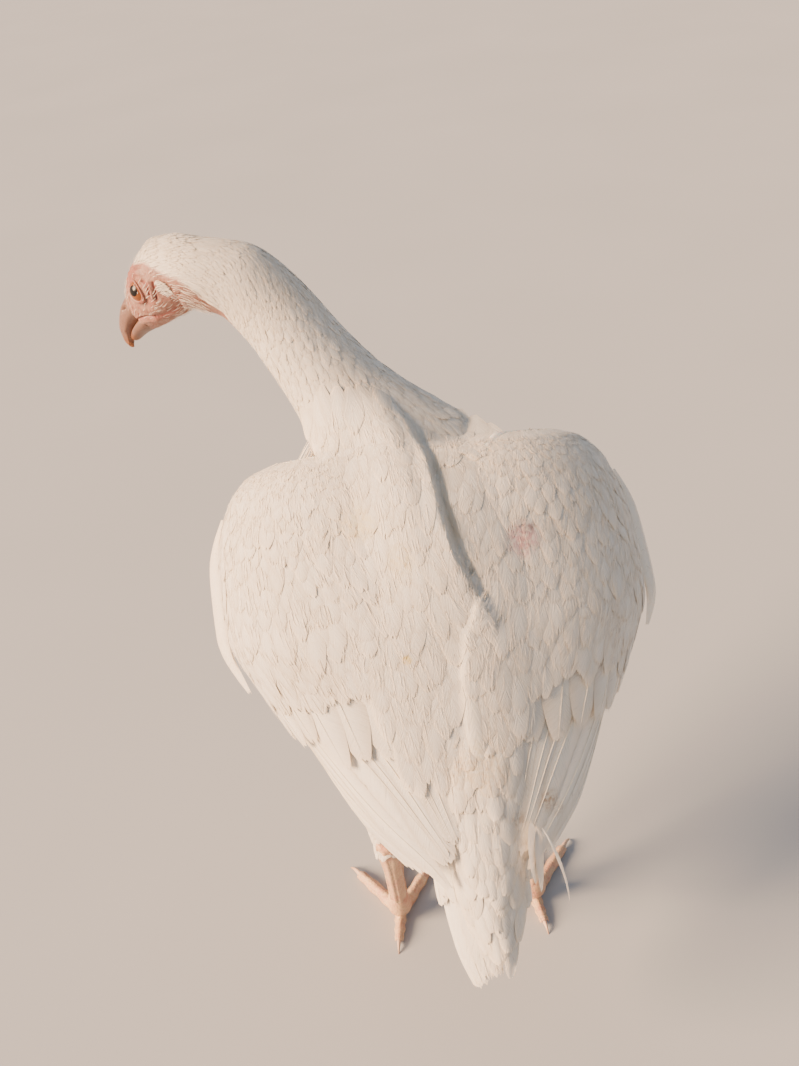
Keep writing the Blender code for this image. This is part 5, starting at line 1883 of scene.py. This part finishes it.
@dataclass
class Plumage:
    """Every feather of the hen, tract by tract and tier by tier."""

    stance: Stance
    head: HeadFrame
    face: Face
    stains: tuple[Stain, ...] = (
        Stain((-0.0516, 0.034, 0.056), 0.013, (0.62, 0.3, 0.3), 0.8),
        Stain((-0.056, 0.04, 0.056), 0.006, (0.16, 0.1, 0.12), 0.7),
        Stain((-0.0503, -0.1125, 0.03), 0.0095, (0.4, 0.22, 0.11), 0.8),
        Stain((-0.0565, -0.1198, 0.026), 0.007, (0.4, 0.22, 0.11), 0.7),
        Stain((-0.032, -0.1193, 0.035), 0.007, (0.42, 0.27, 0.15), 0.6),
        Stain((0.0184, -0.0216, 0.0565), 0.0036, (0.74, 0.52, 0.05), 0.9),
        Stain((0.0342, 0.053, 0.057), 0.014, (0.84, 0.68, 0.36), 0.6),
        Stain((0.0152, 0.0314, 0.0645), 0.012, (0.84, 0.68, 0.36), 0.5),
        Stain((-0.0125, -0.086, 0.042), 0.024, (0.72, 0.54, 0.32), 0.6),
    )
    tiers: tuple[Tier, ...] = (  # primaries, secondaries, greater coverts
        Tier(6, ((0.42, 66), (0.47, 108)), ((1.035, 14), (0.97, 48)), (0.0072, 0.0066), -0.0036, 0.0006,
             bow=14.0, shaft=0.0005),
        Tier(8, ((0.32, 4), (0.42, 60)), ((0.87, -6), (0.995, 8)), (0.012, 0.013), 0.0, 0.00034,
             WORN, bow=2.0, shaft=0.00055),
        Tier(9, ((0.34, 0), (0.16, 96)), ((0.735, -2), (0.64, 90)), (0.015, 0.0125), 0.0002,
             0.00018, COVERT, cup=0.06, shaft=0.00016, scatter=0.016),
    )
    tail_tiers: tuple[tuple[int, float, Pair, Triple, float, float], ...] = (  # main feathers, then coverts
        (5, 0.08, (5, 15), (0.92, 0.72, 0.02), 0.01, -0.0008),
        (5, 0.0, (6, 15), (0.56, 0.52, 0.0), 0.01, 0.002),
    )

    def _finish(self, name: str, **changes: float) -> Material:
        """A feather finish with the hen's stains."""
        return FeatherFinish(name, stains=self.stains, **changes).make(self.stance)

    def neck(self) -> list[Object]:
        """Short feathers from the shoulders up the neck, tiny ones over the crown to the edge of the face."""
        tube = neck_tube(self.stance, self.head)
        coats = (Coat("neck_feathers", SEED + 1), Coat("crown_feathers", SEED + 51))

        def covered(points: Array) -> Array:
            return np.clip(1.25 - 1.6 * self.face.bare(points), 0, 1)

        for tract in (
                Tract(0.2, 6.0, (0, 360), (0.0052, 0.003), (0.024, 0.014), (0.0042, 0.0022), -0.0009, 0.0,
                      SMALL, overlap=0.18, rise=0.0004, ruffle=0.01, cup=0.03, tilt=0.01,
                      sheet=(0.02, 0.02, 0.98, 0.55)),
                Tract(6.0, 9.4, (0, 360), (0.0026, 0.0017), (0.0125, 0.007), (0.0016, 0.0009), -0.0006, 0.0,
                      TINY, overlap=0.17, rise=0.0002, cup=0.02, tilt=0.01, sheet=(0.02, 0.56, 0.98, 0.78)),
                Tract(9.2, 13.9, (0, 360), (0.0014,
                                            0.001), (0.006, 0.0034), (0.0006, 0.0004), -0.0003, 0.0002, TINY,
                      overlap=0.2, rise=0.0002, cup=0.02, tilt=0.01, sheet=(0.02, 0.79, 0.98, 0.98))):
            coat = coats[tract.shape is TINY]
            laid = tract.lay(tube, coat.rng, covered)
            coat.add(laid)
            coat.add(strands(laid, coat.rng, 1, 0.4, 0.00013, 0.0003))
        coat = coats[0]
        crop = Tract(1.7, 3.3, (76, 140), (0.0034, 0.0034), (0.025, 0.019), (0.0013, 0.0011), 0.0, 0.019,
                     FLUFF, overlap=0.16, rise=0.003, ruffle=0.4, scatter=0.3)
        laid = crop.lay(tube, coat.rng)
        coat.add(laid)
        coat.add(strands(laid, coat.rng, 2, 0.8, 0.00014, 0.0015))
        finish = self._finish("neck_plumage", streaks=150.0, relief=0.25, split=0.15)
        return [coats[0].finish("plumage", ("neck",), finish), coats[1].finish("plumage", (), finish)]

    def bristles(self) -> Object:
        """Sparse hair-like feathers on the bare face and throat, and the pale tuft over each ear."""
        tube = neck_tube(self.stance, self.head)
        coat = Coat("face_bristles", SEED + 2)

        def sparse(points: Array) -> Array:
            local = self.head.local(points)
            throat = dome((local[:, 2] + 0.036) / 0.02) * (local[:, 0] < 0.004)
            lore = dome((local[:, 0] - 0.0165) / 0.004, (local[:, 2] - 0.006) / 0.006)
            return self.face.bare(points) * np.clip(0.1 + 0.9 * throat + 0.8 * lore, 0, 1)

        def ears(points: Array) -> Array:
            local = self.head.local(points)
            near = ((local[:, 0] - self.face.ear_tuft[0]) / 0.0034) ** 2 + (
                (local[:, 2] - self.face.ear_tuft[1]) / 0.0058) ** 2
            return (near < 1).astype(float)

        fuzz = Tract(7.4, 14.2, (0, 360), (0.0021, 0.0014), (0.006, 0.0036), (0.00016, 0.00012), 0.0, 0.0012,
                     STRAND, overlap=0.36, rise=0.0008, scatter=0.3, cup=0.0)
        tuft = Tract(8.6, 12.2, (0, 360), (0.0007, 0.0007), (0.0052, 0.005), (0.0002, 0.00018), 0.0, 0.0016,
                     STRAND, overlap=0.13, rise=0.0008, scatter=0.3, cup=0.0, drift=0.0006)
        coat.add(fuzz.lay(tube, coat.rng, sparse))
        coat.add(tuft.lay(tube, coat.rng, ears))
        return coat.finish("plumage", (), self._finish("bristle_plumage", relief=0.1))

    def breast(self) -> Object:
        """The breast, the belly and the fluff under the tail."""
        tube = body_tube(self.stance)
        coat = Coat("breast_feathers", SEED + 3)
        for tract in (
                Tract(8.8, 4.0, (52, 308), (0.0062, 0.0082), (0.02, 0.027), (0.0056, 0.0072), -0.0018, 0.0,
                      PLAIN, overlap=0.28, cup=0.08),
                Tract(4.0, 0.2, (60, 300), (0.0082, 0.006), (0.027, 0.033), (0.0072, 0.007), -0.002, 0.0004,
                      FLUFF, overlap=0.2, rise=0.0022, ruffle=0.3, scatter=0.2)):
            coat.add(tract.lay(tube, coat.rng))
        return coat.finish("plumage", ("torso",), self._finish("breast_plumage"))

    def back(self) -> Object:
        """The smooth cape over the back and both shoulders, running into the saddle."""
        surface = BackSurface(self.stance)
        coat = Coat("back_feathers", SEED + 4)
        reach = ((-0.07, 0.02, -0.02), (-0.04, 0.034, -0.044), (0.0, 0.046, -0.058), (0.06, 0.056, -0.064),
                 (0.1, 0.05, -0.045), (0.13, 0.058, -0.01))

        def region(left_mass: bool) -> Callable[[Array], Array]:
            """Whether points lie on the left mass or on the right one."""
            def keep(points: Array) -> Array:
                local = (points - self.stance.shift - np.array(self.stance.centre)) @ self.stance.axes.T
                x, s = local[:, 0], local[:, 1]
                edge = np.where(s > surface.LAP_START, line(surface.CREASE, s), line(surface.LAP, s))
                thin = np.interp(s, (-0.068, -0.035), (0.5, 1.0))
                if left_mass:
                    return ((x > edge + 0.0034) & (x < line([row[:2] for row in reach], s))) * thin
                return ((x < edge - 0.0028) & (x > line([row[::2] for row in reach], s))) * thin
            return keep

        def along(edge: Sequence[Pair], share: float) -> Callable[[Array, Array], Array]:
            """Lets tips follow a line of the back."""
            def flow(u: Array, v: Array) -> Array:
                s = surface.START - u
                near = dome((v * SIDE_STEP - line(edge, s)) / 0.022)
                return (line(edge, s - 0.03) - line(edge, s)) * share * near
            return flow

        plain = dict(way=1, overlap=0.15, rise=0.0006, ruffle=0.02, cup=0.03, tilt=0.012)
        masses = ((Tract(0.02, 0.215, (-400, 600), (0.0066, 0.009), (0.028, 0.042), (0.0058, 0.0078), -0.001,
                         0.0001, BODY_SHAPE, **plain), True, surface.CREASE),
                  (Tract(0.03, 0.215, (-660, 60), (0.0066, 0.009), (0.027, 0.042), (0.0058, 0.0078), -0.001,
                         0.0001, BODY_SHAPE, **plain), False, surface.LAP))
        for tract, left_mass, edge in masses:
            laid = tract.lay(surface, coat.rng, region(left_mass), along(edge, 0.9))
            coat.add(laid)
            coat.add(strands(laid, coat.rng, 5, 0.55))
        coat.add(batch(surface, COVERT, (0.16,
                                         0.166), (-104, -129), (0.23, 0.2505), (-98, -134), (0.0068, 0.0082),
                       -0.0016, (0.0002,
                                 0.001), 0.0, 0.0, 0.16, 0.0, 0.0, (np.full(2, 0.5), np.full(2, 0.9))))
        return coat.finish("plumage", (), self._finish("back_plumage"))

    def wing(self, side: Side) -> list[Object]:
        """A folded wing: flight feathers, coverts in tiers, and the small coverts of the shoulder."""
        wing = WingSurface(self.stance, side)
        coat = Coat(f"wing_{side.word}_feathers", SEED + 10 + side.value, atlas=True)
        shafts = Coat(f"wing_{side.word}_shafts", SEED + 20 + side.value, atlas=True)
        for tier in self.tiers:
            held_in = side is Side.RIGHT and tier.shape is not COVERT
            vanes, stems = tier.lay(wing, coat.rng, *((0.02, 6.0) if held_in else (0.0, 0.0)))
            coat.add(vanes)
            shafts.add(stems)
        end = 0.53 if side is Side.LEFT else 0.49
        coat.add(batch(wing, FLIGHT, (0.12, 0.09), (86, 88), (end - 0.06, end), (86, 90), 0.0032, 0.004,
                       (0.0052, 0.0066), (1.0, 1.3), 2.0, 0.1, 0.0, (0.4, 0.8),
                       (np.array([0.2, 0.8]), np.full(2, 0.9))))
        small = Coat(f"wing_{side.word}_coverts", SEED + 30 + side.value)
        shoulder = Shoulder(wing)
        for tract, barbs in (
                (Tract(0.02, 0.44, (-4, 112), (0.0066, 0.0095), (0.022, 0.04), (0.0054, 0.0084), -0.0011,
                       0.0004, way=1, overlap=0.16, rise=0.0006, ruffle=0.04, tilt=0.02, cup=0.04), 4),
                (Tract(-0.024, 0.07, (-40, 118), (0.004,
                                                  0.0066), (0.013, 0.021), (0.0034, 0.0058), -0.0008, 0.0002,
                       SMALL, way=1, overlap=0.18, rise=0.0003, ruffle=0.05, tilt=0.02, cup=0.04), 3)):
            laid = tract.lay(shoulder, small.rng)
            small.add(laid)
            small.add(strands(laid, small.rng, barbs, 0.7, stand=0.0008))
        arm = WingArm(wing)
        small.add(Tract(0.03, 0.92, (184, 356), (0.009, 0.0105), (0.025, 0.033), (0.008, 0.0092), -0.0006,
                        0.0004, PLAIN, way=1, overlap=0.28, rise=0.0006, cup=0.05).lay(arm, small.rng))
        small.add(Tract(0.0, 0.16, (190, 335), (0.006, 0.007), (0.013, 0.018), (0.0052, 0.0062), -0.0008,
                        0.001, SMALL, way=1, overlap=0.24, rise=0.0006, cup=0.05).lay(arm, small.rng))
        return [coat.finish("plumage", (f"wing_{side.word}",),
                            self._finish(f"flight_plumage_{side.word}", lean=1.1)),
                shafts.finish("plumage", (), RachisFinish(f"shafts_{side.word}").make()),
                small.finish("plumage", (), self._finish(f"wing_plumage_{side.word}"))]

    def tail(self) -> list[Object]:
        """The tail's feathers in pairs, their coverts, and the tongue of soft feathers that lies on them."""
        surface = TailSurface(self.stance)
        coat = Coat("tail_feathers", SEED + 5, atlas=True)
        shafts = Coat("tail_shafts", SEED + 6, atlas=True)
        for pairs, root, wraps, reaches, half, lift in self.tail_tiers:
            for side, reach in ((1, reaches[0]), (-1, reaches[1])):
                pair = np.arange(pairs)
                wrap = side * (wraps[0] + wraps[1] * pair)
                ends = reach + reaches[2] * pair * side + coat.rng.normal(0, 0.02, pairs)
                level = lift - 0.0007 * pair + (0.0002 if side > 0 else 0.0)
                tint = coat.rng.random(pairs)
                coat.add(batch(surface, WORN, np.full(pairs, root), wrap * 1.15, ends, wrap, half,
                               level - 0.004, level, 0.05 * side, 0.0, 0.1, 0.0, tint))
                shafts.add(batch(surface, SHAFT, np.full(pairs, root), wrap * 1.15,
                                 root + (ends - root) * 0.97, wrap, 0.0005, level - 0.0037, level + 0.00028,
                                 0.05 * side, 0.0, 0.1, 0.0, tint))
        soft = Coat("tail_coverts", SEED + 7)
        saddle = SaddleSurface(self.stance)
        under = Tract(0.0, 0.12, (-200, 200), (0.008, 0.008), (0.04, 0.04), (0.008, 0.008), -0.009, -0.004,
                      FLUFF, way=1, overlap=0.2, rise=0.0006)
        shingles = Tract(0.01, 0.148, (-175, 175), (0.0058, 0.0054), (0.036, 0.032), (0.0062, 0.0058), -0.002,
                         0.0006, SOFT, way=1, overlap=0.2, rise=0.0014, ruffle=0.1, cup=0.12, tilt=0.04,
                         scatter=0.25)
        soft.add(under.lay(saddle, soft.rng))
        laid = shingles.lay(saddle, soft.rng)
        soft.add(laid)
        soft.add(strands(laid, soft.rng, 5, 0.7))
        soft.add(batch(saddle, replace(FLIGHT, fray=0.25), 0.096, -300, 0.1486, -557, 0.0013, 0.01, 0.046,
                       bow=-12.0))
        soft.add(batch(saddle, COVERT, (0.092, 0.096), (-235, -270), (0.13, 0.136), (-285, -330),
                       (0.0048, 0.0042), 0.006, (0.009, 0.012), 0.1))
        body = body_tube(self.stance)
        soft.add(Tract(1.4, 0.0, (95, 265), (0.007, 0.006), (0.036, 0.042), (0.0068, 0.0066), -0.004, 0.0,
                       FLUFF, overlap=0.1, rise=0.0015, ruffle=0.2).lay(body, soft.rng))
        soft.add(Tract(0.05, 0.95, (80, 280), (0.007, 0.006), (0.03, 0.026), (0.0072, 0.006), -0.0008, 0.001,
                       FLUFF, way=1, overlap=0.14, rise=0.0012,
                       ruffle=0.2).lay(TailRoot(self.stance), soft.rng))
        finish = self._finish("tail_plumage")
        return [coat.finish("plumage", ("tail",), finish),
                shafts.finish("plumage", (), RachisFinish("shafts_tail").make()),
                soft.finish("plumage", (), finish)]

    def thigh(self, side: Side) -> Object:
        """The feathered thigh, down to the hock."""
        tube = thigh_tube(self.stance, side)
        coat = Coat(f"thigh_{side.word}_feathers", SEED + 40 + side.value)
        coat.add(Tract(0.3, 4.75, (0, 360), (0.0072, 0.0032), (0.023, 0.0095), (0.0062, 0.0026), -0.0014,
                       0.0002, PLAIN, way=1, overlap=0.24, rise=0.0006, ruffle=0.05, cup=0.06,
                       tilt=0.02).lay(tube, coat.rng))
        return coat.finish("plumage", (f"thigh_{side.word}",), self._finish(f"thigh_plumage_{side.word}"))

    def build(self) -> list[Object]:
        """Builds every coat."""
        pieces = [*self.neck(), self.bristles(), self.breast(), self.back(), *self.tail()]
        for side in Side:
            pieces += self.wing(side)
            pieces.append(self.thigh(side))
        return pieces


# The stage


@dataclass
class Studio:
    """A pale floor, one broad soft lamp, a pale sky and the camera at the photograph's viewing angle.

    The lamp's and the camera's places are given in the trunk's frame, and the lamp's spread in degrees.
    """

    stance: Stance
    middle: Triple = (0.0, 0.085, 0.045)
    distance: float = 0.62
    turn: float = 0.1305
    shift_right: float = 15.5
    shift_up: float = 75.0
    pixels_per_metre: float = 1850.0
    lens: float = 38.735
    lamp_place: Triple = (0.92, 0.34, 0.5)
    lamp_spread: float = 30.0
    lamp_power: float = 17.5
    lamp_colour: Triple = (1.0, 0.66, 0.4)
    sky_colour: Triple = (0.78, 0.87, 1.0)
    sky_strength: float = 0.62
    floor_colours: tuple[Triple, Triple] = ((0.36, 0.37, 0.385), (0.4, 0.41, 0.425))
    floor_half: float = 9.0

    def lamp(self) -> None:
        """The broad lamp, shining on the hen."""
        data = bpy.data.lights.new("key", "SUN")
        data.angle = math.radians(self.lamp_spread)
        data.energy, data.color = self.lamp_power, self.lamp_colour
        lamp = bpy.data.objects.new("key", data)
        bpy.context.scene.collection.objects.link(lamp)
        spot = Vector(self.stance.place(*self.lamp_place))
        aim = Vector(self.stance.place(*self.middle))
        lamp.location = spot
        lamp.rotation_euler = (aim - spot).to_track_quat("-Z", "Y").to_euler()

    def camera(self) -> None:
        """The camera, level with the back and turned a little with it."""
        _, along, out = self.stance.axes
        left = np.array([-1.0, 0.0, 0.0])
        level = math.sqrt(1 - self.turn**2)
        right = -self.turn * along + level * left
        up = level * along + self.turn * left
        spot = (self.stance.place(*self.middle) + out * self.distance
                - right * self.shift_right / self.pixels_per_metre
                - up * self.shift_up / self.pixels_per_metre)
        data = bpy.data.cameras.new("camera")
        data.lens = self.lens
        data.clip_start = 0.01
        camera = bpy.data.objects.new("camera", data)
        bpy.context.scene.collection.objects.link(camera)
        turned = Matrix([[*row] for row in np.array([right, up, out]).T]).to_4x4()
        camera.matrix_world = Matrix.Translation(Vector(spot)) @ turned
        bpy.context.scene.camera = camera

    def build(self) -> None:
        """Builds the floor, the sky, the lamp and the camera."""
        bm = bmesh.new()
        bmesh.ops.create_grid(bm, x_segments=2, y_segments=2, size=self.floor_half)
        floor = from_bmesh("studio_floor", bm)
        nodes = Nodes("pale_floor")
        soft = nodes.noise(nodes.places(), 3.0, 2.0)
        floor.data.materials.append(nodes.finish(
            Base_Color=nodes.mix(soft, *self.floor_colours), Roughness=0.85))
        world = bpy.data.worlds.new("studio")
        world.use_nodes = True
        sky = world.node_tree.nodes["Background"].inputs
        sky["Color"].default_value = (*self.sky_colour, 1.0)
        sky["Strength"].default_value = self.sky_strength
        bpy.context.scene.world = world
        self.lamp()
        self.camera()


def main() -> None:
    """Dresses the hen and sets its stage."""
    logging.basicConfig(level=logging.INFO, format="%(message)s")
    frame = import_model()
    low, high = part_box("eye_left")
    base = Stance()
    local_eye = HeadFrame(base).place(0.0005, 0.0109, 0.001)
    middle = (np.array(low) + np.array(high)) / 2
    shift = middle - local_eye
    stance = Stance(shift=(float(shift[0]), float(shift[1]), 0.0))
    LOG.info("the frame has %d nodes; the hen stands %.5f, %.5f from its own origin", len(frame["nodes"]),
             *shift[:2])
    head = HeadFrame(stance)
    face = Face(head)
    Skin(stance, head, face).build()
    Beak(head).build()
    for side in Side:
        Eye(head, face, side).build()
        Leg(stance, side).build()
    Plumage(stance, head, face).build()
    Studio(stance).build()


if __name__ == "__main__":
    main()
